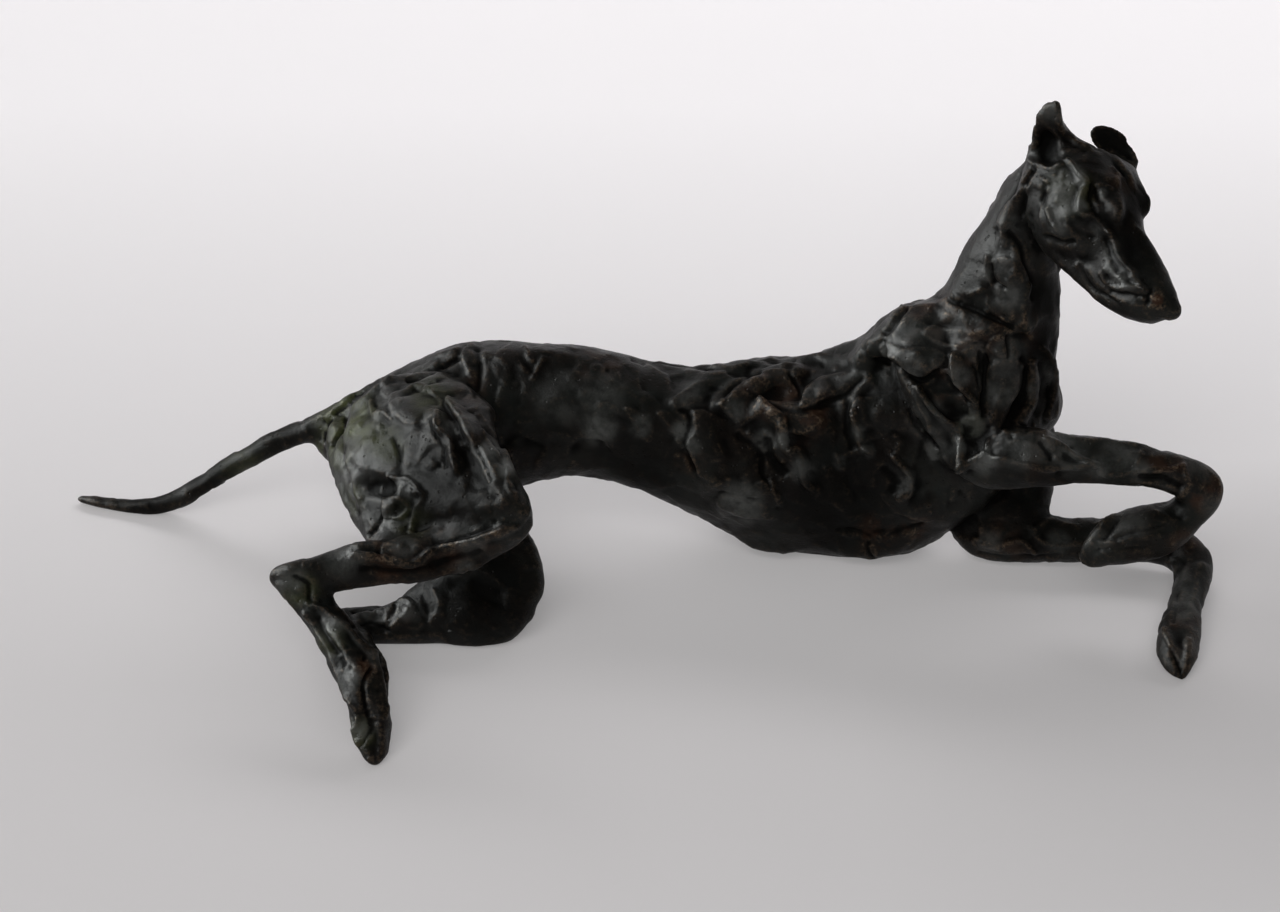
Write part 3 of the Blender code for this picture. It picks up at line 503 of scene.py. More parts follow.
# The haunch: smooth pads above, narrow bands down to the knee, and a swirl where clay was turned.
# A long roll of clay closes it along the bottom, as far as the knee.
HAUNCH_PADS = (
    (((407, 380), (425, 367), (440, 360), (456, 349), (458, 357), (440, 368), (425, 375)),
     1.6, 2.2, (-0.2, -0.5)),
    (((494, 362), (500, 356), (510, 364), (511, 377), (505, 388), (496, 377)), 1.0, 3, (-0.5, 0.0)),
    (((390, 398), (400, 391), (420, 394), (436, 402), (431, 420), (411, 426), (397, 421), (389, 410)),
     1.8, 2.6, (-0.6, 0.4)),
    (((381, 392), (387, 384), (405, 383), (413, 389), (402, 396), (389, 397)), 1.5, 2.4, (-0.5, -0.2)),
    (((415, 384), (440, 376), (462, 380), (466, 392), (448, 400), (424, 393)), 1.3, 3, (-0.4, 0.4)),
    (((404, 445), (410, 434), (426, 431), (441, 440), (443, 460), (431, 468), (419, 463), (409, 455)),
     1.2, 2.6, (-0.6, 0.4)),
    (((435, 415), (442, 411), (452, 416), (458, 430), (466, 460), (457, 473), (452, 460), (447, 441),
      (437, 430)), 2.0, 2.2, (-0.8, 0.3)),
    (((449, 400), (462, 405), (476, 420), (483, 432), (475, 446), (467, 435), (457, 420)),
     1.7, 2.2, (-0.8, 0.2)),
    (((480, 430), (488, 432), (501, 445), (510, 460), (511, 476), (500, 481), (490, 470), (482, 452)),
     1.2, 2.6, (0.6, 0.0)),
    (((496, 496), (512, 491), (526, 500), (530, 512), (521, 527), (502, 533), (494, 515)),
     1.5, 4, (0.3, -0.4)),
    (((356, 483), (370, 474), (388, 476), (393, 490), (385, 498), (370, 497), (359, 492)),
     -1.1, 8, (0.0, 0.0)),
    (((388, 520), (402, 516), (411, 523), (404, 530), (391, 529)), 1.1, 2.5, (0.3, 0.3)),
    (((322, 441), (323, 422), (335, 416), (347, 420), (342, 431), (335, 441), (327, 443)),
     1.7, 2.2, (0.3, 0.5)),
    (((381, 556), (387, 542), (400, 536), (416, 539), (423, 546), (411, 558), (399, 560)),
     2.0, 2.6, (-0.5, 0.4)),
    (((349, 553), (357, 542), (375, 539), (381, 550), (370, 557)), 1.5, 2.6, (-0.3, -0.4)),
    (((352, 450), (368, 440), (386, 452), (392, 470), (372, 472), (356, 466)), 0.9, 5, (-0.6, -0.2)),
    (((404, 478), (430, 474), (455, 486), (470, 502), (446, 516), (420, 512)), 1.0, 6, (-0.4, 0.4)),
)
HAUNCH_STROKES = (
    (((409, 381), (425, 375), (443, 367), (458, 359)), 2.8, -1.8, 0.8),
    (((325, 417), (355, 395), (390, 374)), 3.8, 1.8, 0.7),
    (((337, 413), (357, 398), (371, 389)), 2.8, -1.8, 0.8),
    (((470, 346), (464, 361), (470, 371)), 4.0, 1.6, 0.7),
    (((478, 350), (482, 372), (476, 396)), 6.0, -1.1, 0.9),
    (((525, 347), (532, 361)), 2.4, 1.1, 0.7),
    (((543, 358), (532, 378)), 2.4, 1.1, 0.7),
    (((519, 360), (523, 371)), 2.2, 0.8, 0.7),
    (((402, 392), (422, 386), (441, 402)), 2.2, 0.9, 0.7),
    (((436, 413), (437, 427), (447, 440), (452, 457), (457, 473)), 2.6, 1.6, 0.6),
    (((430, 420), (441, 444), (447, 466)), 3.0, -1.3, 0.8),
    (((449, 400), (460, 414), (467, 427), (471, 439)), 3.0, 1.3, 0.6),
    (((444, 404), (455, 420), (463, 440)), 2.8, -0.9, 0.8),
    (((482, 431), (490, 447), (501, 464)), 2.6, 1.0, 0.6),
    (((505, 451), (506, 475), (511, 497)), 3.0, 1.4, 0.6),
    (((479, 414), (497, 435), (510, 452), (513, 480)), 3.0, 0.7, 0.8),
    (((467, 452), (480, 478), (495, 498)), 7.5, -1.1, 0.9),
    (((474, 440), (484, 462), (492, 480)), 3.4, -0.8, 0.8),
    (((482, 506), (500, 500)), 5.0, 0.6, 0.9),
    (((390, 476), (410, 481), (423, 492)), 3.0, 1.6, 0.6),
    (((392, 479), (394, 491)), 2.4, -1.4, 0.8),
    (((384, 499), (400, 499), (410, 509), (401, 516), (390, 515)), 2.6, 1.2, 0.6),
    (((385, 502), (386, 515), (379, 528)), 3.0, 1.6, 0.6),
    (((411, 491), (423, 495), (416, 514), (411, 533)), 3.0, 1.4, 0.6),
    (((369, 533), (380, 525), (383, 516)), 3.2, -2.0, 0.8),
    (((334, 443), (342, 432), (347, 421)), 3.0, -2.4, 0.8),
    (((371, 401), (375, 415), (382, 411), (388, 418)), 2.6, 1.5, 0.6),
    (((354, 556), (380, 559), (410, 562), (430, 552), (450, 545), (475, 540), (500, 532), (516, 526)),
     3.6, 2.1, 0.5, 0.3),
    (((421, 557), (440, 546), (466, 537), (490, 529)), 3.6, -0.9, 0.9),
    (((360, 568), (400, 571), (440, 563), (480, 551)), 5.0, -0.9, 0.9),
    (((345, 455), (352, 480), (366, 505), (372, 522)), 5.0, 0.9, 0.9),
    (((336, 470), (345, 495), (358, 514)), 5.0, -0.8, 0.9),
    (((395, 440), (402, 462), (398, 478)), 5.0, -1.0, 0.9),
)
HAUNCH_DENTS = (
    (376, 405, 3, -1.4), (440, 465, 4, -1.4), (432, 462, 3, 0.9), (397, 507, 6, -0.9),
    (505, 520, 4, 1.0), (514, 515, 4, -0.8), (488, 512, 4, 1.0), (494, 524, 4, -0.8),
    (500, 508, 3, 0.9), (384, 384, 4, 0.9), (395, 378, 4, -0.9), (401, 402, 4, 0.8), (352, 432, 5, 0.8),
    (345, 448, 4, -0.8), (360, 425, 5, 0.8), (379, 426, 4, 0.9), (386, 432, 4, -0.7),
    (373, 440, 4, 0.7), (350, 470, 4, 0.8), (362, 498, 4, 1.0), (400, 547, 4, 0.9), (410, 550, 3, -0.9),
    (392, 551, 3, 0.8), (368, 545, 4, -0.8), (360, 549, 4, 0.8), (372, 481, 5, 0.7), (381, 489, 4, 0.8),
    (365, 489, 4, 0.6), (483, 400, 5, -0.7), (488, 410, 4, 0.8), (498, 404, 4, 0.6), (516, 384, 4, 0.6),
)
lay_pads(HAUNCH_PADS)
press_strokes(HAUNCH_STROKES)
press_dents(HAUNCH_DENTS)

# The hind legs and feet: bare shins, a knotted hock, and long narrow feet with chipped edges.
# They are rods of clay pinched between finger and thumb.
HIND_PADS = (
    (((270, 574), (287, 561), (315, 559), (321, 570), (303, 577), (280, 578)), 1.4, 2.5, (-0.3, -0.5)),
    (((370, 647), (386, 662), (387, 705), (375, 718), (366, 710), (366, 690), (372, 670)),
     2.0, 2.6, (0.6, -0.2)),
    (((354, 616), (375, 605), (391, 607), (391, 620), (375, 625), (360, 623)), 1.3, 2.2, (-0.3, 0.4)),
    (((276, 582), (288, 583), (300, 600), (308, 620), (298, 612), (284, 596)), 1.1, 2.4, (-0.5, 0.2)),
    (((338, 668), (352, 676), (362, 700), (358, 712), (346, 696)), 1.3, 2.4, (-0.3, 0.4)),
)
HIND_STROKES = (
    (((295, 575), (307, 585), (310, 603)), 4.0, -2.0, 0.8),
    (((309, 604), (332, 617), (357, 640), (371, 656)), 4.0, 1.6, 0.6, 0.3),
    (((304, 614), (325, 642), (335, 670), (350, 701)), 3.0, 1.2, 0.6),
    (((318, 620), (336, 648), (346, 664)), 4.0, -1.2, 0.8),
    (((371, 669), (364, 682), (365, 706)), 2.8, -1.9, 0.8),
    (((369, 718), (382, 718), (388, 707)), 2.0, 1.0, 0.7),
    (((351, 704), (357, 720), (354, 732), (360, 746)), 2.6, 1.3, 0.6),
    (((367, 711), (371, 730), (361, 746)), 3.2, -1.4, 0.8),
    (((377, 725), (381, 742), (377, 760)), 3.6, 1.0, 0.8),
    (((354, 611), (386, 606)), 2.4, -1.5, 0.8),
    (((400, 599), (412, 602), (405, 615), (392, 626)), 3.2, 1.0, 0.8),
    (((397, 606), (390, 618)), 3.0, -1.2, 0.8),
    (((435, 589), (440, 607), (431, 621)), 3.2, 0.9, 0.8),
    (((424, 596), (428, 612)), 4.0, -1.0, 0.9),
    (((462, 571), (481, 564)), 3.2, 1.1, 0.7),
    (((452, 584), (478, 580), (500, 590)), 9.0, -1.1, 1.0),
    (((470, 604), (500, 612), (512, 622)), 8.0, 0.8, 1.0),
    (((528, 548), (538, 575), (530, 600)), 6.0, 0.8, 1.0),
    (((366, 632), (400, 636), (440, 634)), 4.0, 0.8, 0.9),
    (((350, 628), (372, 622), (388, 630)), 3.0, -0.9, 0.8),
)
HIND_DENTS = (
    (358, 668, 5, 2.0), (365, 660, 4, -1.4), (347, 646, 3, -1.3), (352, 668, 3, -1.2),
    (344, 670, 3, 0.9), (340, 655, 4, 0.9), (332, 632, 4, 0.9), (326, 626, 3, -0.9), (298, 590, 4, 1.1),
    (304, 598, 3, -0.9), (290, 568, 4, 0.9), (301, 565, 3, -0.8), (313, 566, 4, 0.9),
    (282, 573, 3, 0.7), (357, 735, 3, -0.9), (366, 752, 4, 0.8), (372, 610, 3, -1.0),
    (382, 613, 3, 0.8), (408, 609, 4, 0.9), (402, 621, 3, -0.8), (470, 567, 3, 0.9), (456, 573, 3, 0.9),
    (455, 620, 3, 0.7), (466, 622, 3, 0.7), (443, 614, 4, 0.7), (318, 608, 3, 0.8), (322, 600, 3, -0.8),
    (360, 690, 3, 0.9), (378, 690, 4, -0.8), (380, 672, 4, 0.8),
)
lay_pads(HIND_PADS)
press_strokes(HIND_STROKES)
press_dents(HIND_DENTS)

# The head: a crest from the ear over the brow and down the cheek parts lit side from dark bridge.
# The eye is a ball of clay set in a pit, under a lid.
HEAD_PADS = (
    (((1042, 133), (1051, 131), (1058, 143), (1061, 157), (1052, 163), (1042, 160), (1038, 147)),
     -1.4, 7, (0.0, 0.0)),
    (((1095, 129), (1110, 129), (1125, 141), (1133, 155), (1130, 162), (1113, 152), (1099, 143)),
     -1.6, 5, (0.0, 0.0)),
    (((1078, 160), (1090, 152), (1105, 155), (1113, 168), (1110, 180), (1092, 182), (1082, 176)),
     0.6, 4, (0.0, 0.0)),
    (((1053, 196), (1060, 187), (1070, 183), (1080, 197), (1080, 212), (1070, 218), (1061, 212)),
     1.2, 3, (-0.3, -0.3)),
)
HEAD_STROKES = (
    (((1056, 102), (1058, 120), (1066, 133), (1076, 144), (1087, 151)), 3.0, 2.0, 0.6),
    (((1037, 111), (1032, 130), (1034, 143), (1028, 152), (1031, 163)), 2.6, 1.6, 0.6),
    (((1037, 166), (1050, 169), (1060, 165)), 2.6, 1.5, 0.6),
    (((1063, 150), (1084, 150)), 2.4, 0.9, 0.7),
    (((1098, 149), (1117, 161), (1127, 173), (1134, 190)), 3.0, 1.5, 0.6),
    (((1112, 169), (1118, 177)), 2.4, 1.1, 0.7),
    (((1067, 161), (1075, 172), (1085, 182), (1080, 193), (1078, 203), (1082, 213), (1093, 217),
      (1101, 226), (1108, 233)), 3.2, 2.1, 0.5, 0.3),
    (((1096, 186), (1103, 184), (1111, 188)), 2.2, 1.2, 0.7),
    (((1095, 191), (1098, 199), (1104, 201)), 2.4, -1.0, 0.8),
    (((1115, 180), (1119, 197), (1115, 218)), 3.4, 1.0, 0.8),
    (((1108, 232), (1113, 243), (1123, 262), (1132, 272), (1134, 279), (1144, 289)), 3.2, 1.6, 0.5, 0.3),
    (((1106, 240), (1112, 256), (1118, 270)), 4.0, -0.8, 0.9),
    (((1107, 275), (1111, 283)), 2.6, -0.6, 0.8),
    (((1100, 273), (1108, 282), (1120, 287), (1133, 287), (1143, 290)), 2.6, 1.3, 0.6),
    (((1112, 291), (1130, 296), (1146, 295)), 3.0, -1.5, 0.8),
    (((1151, 289), (1148, 297), (1147, 304)), 2.4, -1.5, 0.8),
    (((1083, 272), (1093, 285), (1107, 296), (1118, 303)), 2.8, -0.9, 0.8),
    (((1088, 268), (1099, 282), (1112, 294)), 2.8, 0.8, 0.8),
    (((1048, 238), (1060, 243), (1073, 243)), 5.5, -1.6, 0.9),
    (((1072, 222), (1080, 232), (1092, 240)), 5.0, -0.8, 0.9),
    (((1118, 300), (1140, 305), (1160, 306)), 3.0, 0.8, 0.8),
    (((1090, 186), (1089, 200), (1094, 211)), 3.0, -1.0, 0.8),
)
HEAD_DENTS = (
    (1103, 192, 6, 1.6), (1105, 205, 8, -1.5), (1094, 190, 3, -1.2), (1106, 268, 4, 1.4),
    (1112, 264, 3, -0.8), (1157, 299, 5, 1.4), (1077, 266, 4, 1.2), (1082, 268, 3, -0.8),
    (1120, 276, 5, 0.9), (1128, 281, 4, -0.7), (1031, 153, 5, 0.8), (1037, 168, 4, 0.7),
    (1030, 131, 5, 0.5), (1052, 112, 6, 0.5), (1074, 140, 4, 0.4), (1076, 161, 3, 0.7),
    (1062, 178, 4, 0.9), (1066, 186, 4, -0.8), (1056, 203, 3, 0.8), (1063, 221, 3, -0.8),
    (1141, 175, 4, 0.6), (1148, 226, 4, -0.7), (1174, 299, 3, 0.8), (1050, 186, 4, -0.9),
    (1054, 176, 3, 0.8),
)
lay_pads(HEAD_PADS)
press_strokes(HEAD_STROKES)
press_dents(HEAD_DENTS)

# The whole skin, hidden side too, is pads pressed flat with a thumb.
# Each vertex follows the plane of the pad centre next to it, with a seam where two pads meet.
PAD_COUNT = 1500
PAD_LONG = 0.011
PAD_SHORT = 0.0055
PAD_THROUGH = 0.006
PAD_FLATTEN = 0.55
PAD_LIFT = 0.40
PAD_TILT = 0.13
PAD_MOST = 1.1
SEAM_WIDTH = 0.22
SEAM_DEPTH = 0.22
SLAB = 0.012
SLAB_REACH = 0.022
GRAIN_WAY = np.array((0.8, 0.0, -1.2))
PAD_SEED = 23

picks = np.random.default_rng(PAD_SEED)
centres = picks.choice(len(places), PAD_COUNT, replace=False)
pad_place = places[centres]
pad_normal = normals[centres]
grain = picks.normal(size=(PAD_COUNT, 3)) + GRAIN_WAY
grain -= np.sum(grain * pad_normal, axis=1)[:, None] * pad_normal
grain /= np.linalg.norm(grain, axis=1)[:, None]
cross_grain = np.cross(pad_normal, grain)
pad_lift = picks.uniform(-PAD_LIFT, PAD_LIFT, PAD_COUNT)
pad_tilt = picks.normal(scale=PAD_TILT, size=(PAD_COUNT, 2))

pads_height = np.zeros(len(places))
seams = np.zeros(len(places))
slab_index = np.floor(places[:, 0] / SLAB).astype(np.int64)
for slab in np.unique(slab_index):
    chosen = np.nonzero(slab_index == slab)[0]
    middle = (slab + 0.5) * SLAB
    around = np.nonzero(np.abs(pad_place[:, 0] - middle) < SLAB / 2 + SLAB_REACH)[0]
    offset = places[chosen][:, None, :] - pad_place[around][None, :, :]
    long_way = np.einsum("ijk,jk->ij", offset, grain[around])
    short_way = np.einsum("ijk,jk->ij", offset, cross_grain[around])
    through = np.einsum("ijk,jk->ij", offset, pad_normal[around])
    distance = np.sqrt((long_way / PAD_LONG) ** 2 + (short_way / PAD_SHORT) ** 2
                       + (through / PAD_THROUGH) ** 2)
    order = np.argsort(distance, axis=1)[:, :2]
    rows = np.arange(len(chosen))
    heights = []
    for rank in (0, 1):
        pick = order[:, rank]
        pad = around[pick]
        plane = (pad_lift[pad] + (pad_tilt[pad, 0] * long_way[rows, pick]
                                  + pad_tilt[pad, 1] * short_way[rows, pick]) / MILLIMETRE
                 - PAD_FLATTEN * through[rows, pick] / MILLIMETRE)
        heights.append(np.clip(plane, -PAD_MOST, PAD_MOST))
    parted = smoothstep((distance[rows, order[:, 1]] - distance[rows, order[:, 0]]) / SEAM_WIDTH)
    pads_height[chosen] = heights[0] * (0.5 + 0.5 * parted) + heights[1] * (0.5 - 0.5 * parted)
    seams[chosen] = 1.0 - parted

# The listed marks lead on the seen side, so the thumbed pads are lower there and at its outline.
# Lumps are (size, height in millimetres, shift). The relief dies away where the casting rests.
SEEN_SHARE = 0.42
HIDDEN_SHARE = 0.66
OUTLINE_ROUNDS = 4
SEEN_ROUNDS = 2
HEIGHT_ROUNDS = 1
LUMPS = ((0.0045, 0.20, 0.0), (0.0022, 0.11, 4.1))
REST_FREE = 0.004


def softened(values, rounds):
    """One value for each vertex, averaged with its neighbours for some rounds."""
    return averaged(values[:, None], rounds)[:, 0]


pad_share = HIDDEN_SHARE - (HIDDEN_SHARE - SEEN_SHARE) * softened(at_outline, OUTLINE_ROUNDS)
fine = sum(high * lumps(places, size, shift) for size, high, shift in LUMPS)
height = (relief * softened(seen, SEEN_ROUNDS) + pad_share * (pads_height - SEAM_DEPTH * seams)
          + fine)
height = softened(height, HEIGHT_ROUNDS) * smoothstep(places[:, 2] / REST_FREE)
places = places + normals * (height * MILLIMETRE)[:, None]
places[:, 2] = np.maximum(places[:, 2], 0.0)
skin.vertices.foreach_set("co", places.ravel())
skin.update()


# Wear and painted light: edges that hands rub, hollows that keep dirt, stains drawn where the photograph
# has them, painted sheen on lit spots and painted shade on shaded spots. A row of marks is (u, v, radius,
# strength), in the photograph's pixels.
def standing_out(rounds):
    """Millimetres by which a vertex stands out from the mean of its surroundings."""
    outward = read_floats(skin.vertex_normals, "vector", 3)
    return np.sum((places - averaged(places, rounds)) * outward, axis=1) / MILLIMETRE


MARK_FULLNESS = 1.4


def stains_and_painted_light(round_marks):
    """The strongest of some round marks at each seen vertex: smoothstep bells with a flat top, and nought
    on hidden vertices. They serve for real stains and wear, and for painted sheen and painted shade."""
    strength = np.zeros(len(places))
    for u, v, radius, share in round_marks:
        gap = np.hypot(picture[:, 0] - u, picture[:, 1] - v)
        strength = np.maximum(strength, share * smoothstep(MARK_FULLNESS * (1.0 - gap / radius)))
    return strength * seen


EDGE_ROUNDS = 5
EDGE_FULL = 0.26
HOLLOW_ROUNDS = 26
HOLLOW_FULL = 0.55
RUBBED = (
    (395, 563, 42, 0.7), (445, 550, 36, 0.6), (488, 536, 28, 0.4), (1207, 488, 34, 0.9),
    (1165, 470, 34, 0.5), (800, 416, 40, 0.9), (765, 398, 34, 0.7), (930, 314, 46, 0.7),
    (970, 346, 30, 0.9), (946, 382, 28, 0.6), (875, 531, 26, 1.0), (916, 525, 18, 0.8),
    (366, 668, 14, 1.4), (1157, 300, 12, 1.8), (1186, 640, 36, 0.5), (1015, 330, 34, 0.5),
    (1000, 545, 34, 0.4), (1040, 455, 34, 0.4), (400, 612, 22, 0.4), (600, 366, 30, 0.4),
    (1120, 180, 22, 0.4), (1185, 545, 24, 0.5), (470, 385, 30, 0.3), (690, 460, 20, 0.4),
)
GREENED = (
    (348, 420, 44, 1.0), (335, 455, 28, 0.9), (384, 442, 30, 0.5), (345, 500, 26, 0.45),
    (300, 590, 24, 0.35), (330, 640, 22, 0.35), (358, 735, 24, 0.4), (240, 458, 34, 0.3),
    (432, 398, 30, 0.3), (970, 426, 18, 0.35), (1068, 192, 34, 0.3), (410, 520, 30, 0.3),
)
# Painted sheen: lighter grey colour, with more wax, on spots where lit planes shine.
PAINTED_SHEEN_SPOTS = (
    (740, 504, 30, 1.0), (600, 428, 24, 1.0), (640, 426, 15, 0.9), (682, 432, 16, 0.9),
    (692, 446, 12, 0.8), (735, 410, 14, 0.8), (764, 440, 16, 0.9), (784, 438, 14, 0.9),
    (803, 470, 18, 0.9), (858, 432, 12, 0.7), (906, 480, 14, 0.8), (937, 452, 18, 0.8),
    (893, 350, 14, 0.9), (915, 364, 16, 0.8), (925, 340, 20, 0.6), (957, 376, 16, 0.9),
    (970, 426, 22, 0.7), (1004, 392, 20, 0.6), (1032, 390, 12, 0.5), (987, 272, 12, 0.8),
    (1010, 295, 22, 0.7), (1010, 225, 14, 0.6), (1063, 200, 26, 0.7), (1074, 178, 16, 0.8),
    (1080, 206, 10, 0.9), (1060, 228, 12, 0.7), (1100, 226, 12, 0.6), (1103, 193, 7, 0.8),
    (1125, 279, 18, 0.9), (1110, 268, 8, 1.0), (1115, 252, 16, 0.6), (935, 410, 14, 0.7),
    (958, 446, 14, 0.9), (985, 460, 20, 0.9), (1068, 456, 26, 0.7), (1100, 467, 16, 0.7),
    (1140, 471, 16, 0.6), (1166, 482, 14, 0.5), (1098, 542, 16, 0.6), (1058, 542, 16, 0.5),
    (990, 543, 16, 0.5), (1178, 576, 16, 0.6), (1170, 640, 10, 0.6), (395, 400, 22, 0.5),
    (425, 372, 20, 0.5), (452, 430, 12, 0.8), (468, 425, 12, 0.8), (506, 470, 12, 1.0),
    (490, 450, 14, 0.6), (350, 465, 30, 0.5), (408, 486, 16, 0.8), (386, 520, 18, 0.7),
    (402, 548, 18, 0.6), (345, 558, 28, 0.6), (470, 542, 22, 0.5), (292, 580, 20, 0.8),
    (330, 630, 20, 0.6), (352, 678, 16, 0.6), (378, 660, 14, 0.5), (362, 730, 16, 0.6),
    (372, 612, 22, 0.6), (404, 610, 16, 0.8), (466, 570, 16, 0.5), (645, 362, 14, 0.4),
    (690, 395, 22, 0.4), (940, 345, 42, 0.45), (1000, 380, 36, 0.45), (930, 420, 28, 0.5),
    (560, 400, 36, 0.4), (600, 395, 34, 0.5), (1000, 250, 26, 0.5), (1060, 450, 30, 0.7),
    (1120, 456, 26, 0.6), (1182, 600, 22, 0.5), (1186, 645, 24, 0.4), (1020, 450, 26, 0.8),
    (1045, 450, 22, 0.7), (1200, 470, 20, 0.5), (1212, 505, 16, 0.4), (905, 330, 24, 0.6),
    (1010, 350, 20, 0.6), (1045, 375, 16, 0.5), (975, 350, 18, 0.6), (1130, 525, 24, 0.4),
    (1185, 610, 18, 0.5), (1050, 112, 14, 0.5), (1033, 156, 10, 0.6), (868, 450, 10, 0.7),
    (840, 462, 10, 0.8), (808, 400, 12, 0.5),
)
# Painted shade: darker, duller, unwaxed colour on spots where planes lie in shade.
PAINTED_SHADE_SPOTS = (
    (1046, 300, 34, 0.9), (1050, 345, 34, 0.9), (1046, 392, 22, 0.6), (1143, 205, 30, 0.8),
    (1138, 250, 34, 0.8), (1110, 142, 30, 0.6), (490, 605, 70, 0.7), (840, 500, 84, 0.8),
    (640, 480, 70, 0.6), (820, 450, 34, 0.6), (430, 575, 50, 0.5), (1050, 150, 13, 0.7),
    (1040, 500, 60, 0.5), (440, 490, 58, 0.8), (455, 462, 38, 0.6), (373, 486, 15, 0.35),
    (398, 508, 12, 0.6), (1100, 216, 15, 0.8), (1120, 192, 24, 0.5), (1092, 166, 14, 0.5),
    (420, 505, 24, 0.6), (480, 500, 30, 0.6), (150, 505, 44, 0.7), (210, 480, 44, 0.7),
    (270, 445, 40, 0.6), (470, 430, 24, 0.3), (400, 440, 24, 0.3),
)
KEPT_TRIANGLES = 196000

wear_and_painted_light = {
    "edge": smoothstep(standing_out(EDGE_ROUNDS) / EDGE_FULL),
    "hollow_dirt_and_painted_shade": np.maximum(smoothstep(-standing_out(HOLLOW_ROUNDS) / HOLLOW_FULL), stains_and_painted_light(PAINTED_SHADE_SPOTS)),
    "rubbed": stains_and_painted_light(RUBBED),
    "greened": stains_and_painted_light(GREENED),
    "painted_sheen": stains_and_painted_light(PAINTED_SHEEN_SPOTS),
}
for name, values in wear_and_painted_light.items():
    skin.attributes.new(name, "FLOAT", "POINT").data.foreach_set("value", values)

# Fewer triangles where the skin is plain
thin = greyhound.modifiers.new("thin", "DECIMATE")
thin.use_collapse_triangulate = True
thin.ratio = KEPT_TRIANGLES / sum(len(face.vertices) - 2 for face in skin.polygons)
skin = live_mesh(greyhound)
greyhound.modifiers.clear()
greyhound.data = skin


# Patina: near-black brown bronze, grey-green in places and rubbed to warm brown, with a painted grey sheen
# on lit pads and painted shade on shaded spots, under a coat of wax that is thickest on the painted sheen
# and missing in the hollows and the painted shade.
def put(tree, kind, inputs=(), **settings):
    """A new node of a kind; inputs are pairs of a socket and the value or output that goes in."""
    node = tree.nodes.new(kind)
    for key, value in settings.items():
        setattr(node, key, value)
    for key, value in inputs:
        if isinstance(value, bpy.types.NodeSocket):
            tree.links.new(value, node.inputs[key])
        else:
            node.inputs[key].default_value = value
    return node


def cloud(tree, scale, detail, roughness):
    """Cloudy noise from nought to one over the object's own metres: each finer layer is as strong
    as the last one times the roughness."""
    where = put(tree, "ShaderNodeTexCoord").outputs["Object"]
    return put(tree, "ShaderNodeTexNoise", (("Vector", where), ("Scale", scale), ("Detail", detail),
                                            ("Roughness", roughness))).outputs[0]


def between(tree, value, low, high, to_low=0.0, to_high=1.0):
    """Where a value lies between two bounds, clamped, and sent to another range."""
    return put(tree, "ShaderNodeMapRange", ((0, value), (1, low), (2, high), (3, to_low),
                                            (4, to_high))).outputs[0]


def worked_out(tree, operation, first, second):
    """Arithmetic on two values."""
    return put(tree, "ShaderNodeMath", ((0, first), (1, second)), operation=operation).outputs[0]


def product(tree, first, second):
    """Two values multiplied."""
    return worked_out(tree, "MULTIPLY", first, second)


def total(tree, first, second):
    """Two values added."""
    return worked_out(tree, "ADD", first, second)


def blend(tree, share, first, second):
    """A colour the given share of the way between two."""
    return put(tree, "ShaderNodeMix", ((0, share), (6, first), (7, second)), data_type="RGBA").outputs[2]


BROWN_BLACK = (0.0034, 0.0030, 0.0024, 1.0)
GREY_GREEN = (0.0085, 0.0100, 0.0085, 1.0)
WARM_BROWN = (0.0330, 0.0150, 0.0075, 1.0)
BARE_METAL = (0.1700, 0.1200, 0.0780, 1.0)
PALE_GREEN = (0.0780, 0.0900, 0.0330, 1.0)
PAINTED_SHEEN_GREY = (0.0620, 0.0650, 0.0600, 1.0)
DIRT_AND_PAINTED_SHADE = (0.0025, 0.0024, 0.0022, 1.0)
# Clouds are (scale in cells to the metre, detail, roughness)
WIDE = (32.0, 5.0, 0.6)
MIDDLING = (95.0, 5.0, 0.6)
GRAIN = (500.0, 6.0, 0.75)
PIT_CELLS = 300.0
# Bounds of a cloud or mark, and the two values that it then gives where they aren't nought and one
GREY_CLOUD = (0.42, 0.66)
WARM_CLOUD = (0.44, 0.60)
WARM_UNRUBBED = (0.0, 1.0, 0.06, 1.0)
WORN_THROUGH = (1.0, 1.8)
BARE_UNRUBBED = (0.0, 1.0, 0.35, 1.0)
BARE_GRAIN = (0.45, 0.65)
GREEN_CLOUD = (0.38, 0.62, 0.25, 1.0)
SHEEN_CLOUD = (0.38, 0.58, 0.25, 1.0)
DULL_CLOUD = (0.35, 0.65, 0.32, 0.50)
PIT_DEPTH = (0.10, 0.22, -1.0, 0.0)
PIT_CLOUD = (0.48, 0.58)
WAX_IN_HOLLOW_AND_SHADE = (0.0, 1.0, 0.26, 0.02)
DIRT_AND_SHADE_SHARE = 0.85
DULLER = 0.16
METAL_SHARE = 0.8
GRAIN_HEIGHT = 0.9
BUMP_STRENGTH = 0.75
BUMP_DEPTH = 0.0005
WAX_ON_SHEEN = 0.36
WAX_ROUGHNESS = 0.40
BARE_GLOSS = 0.02


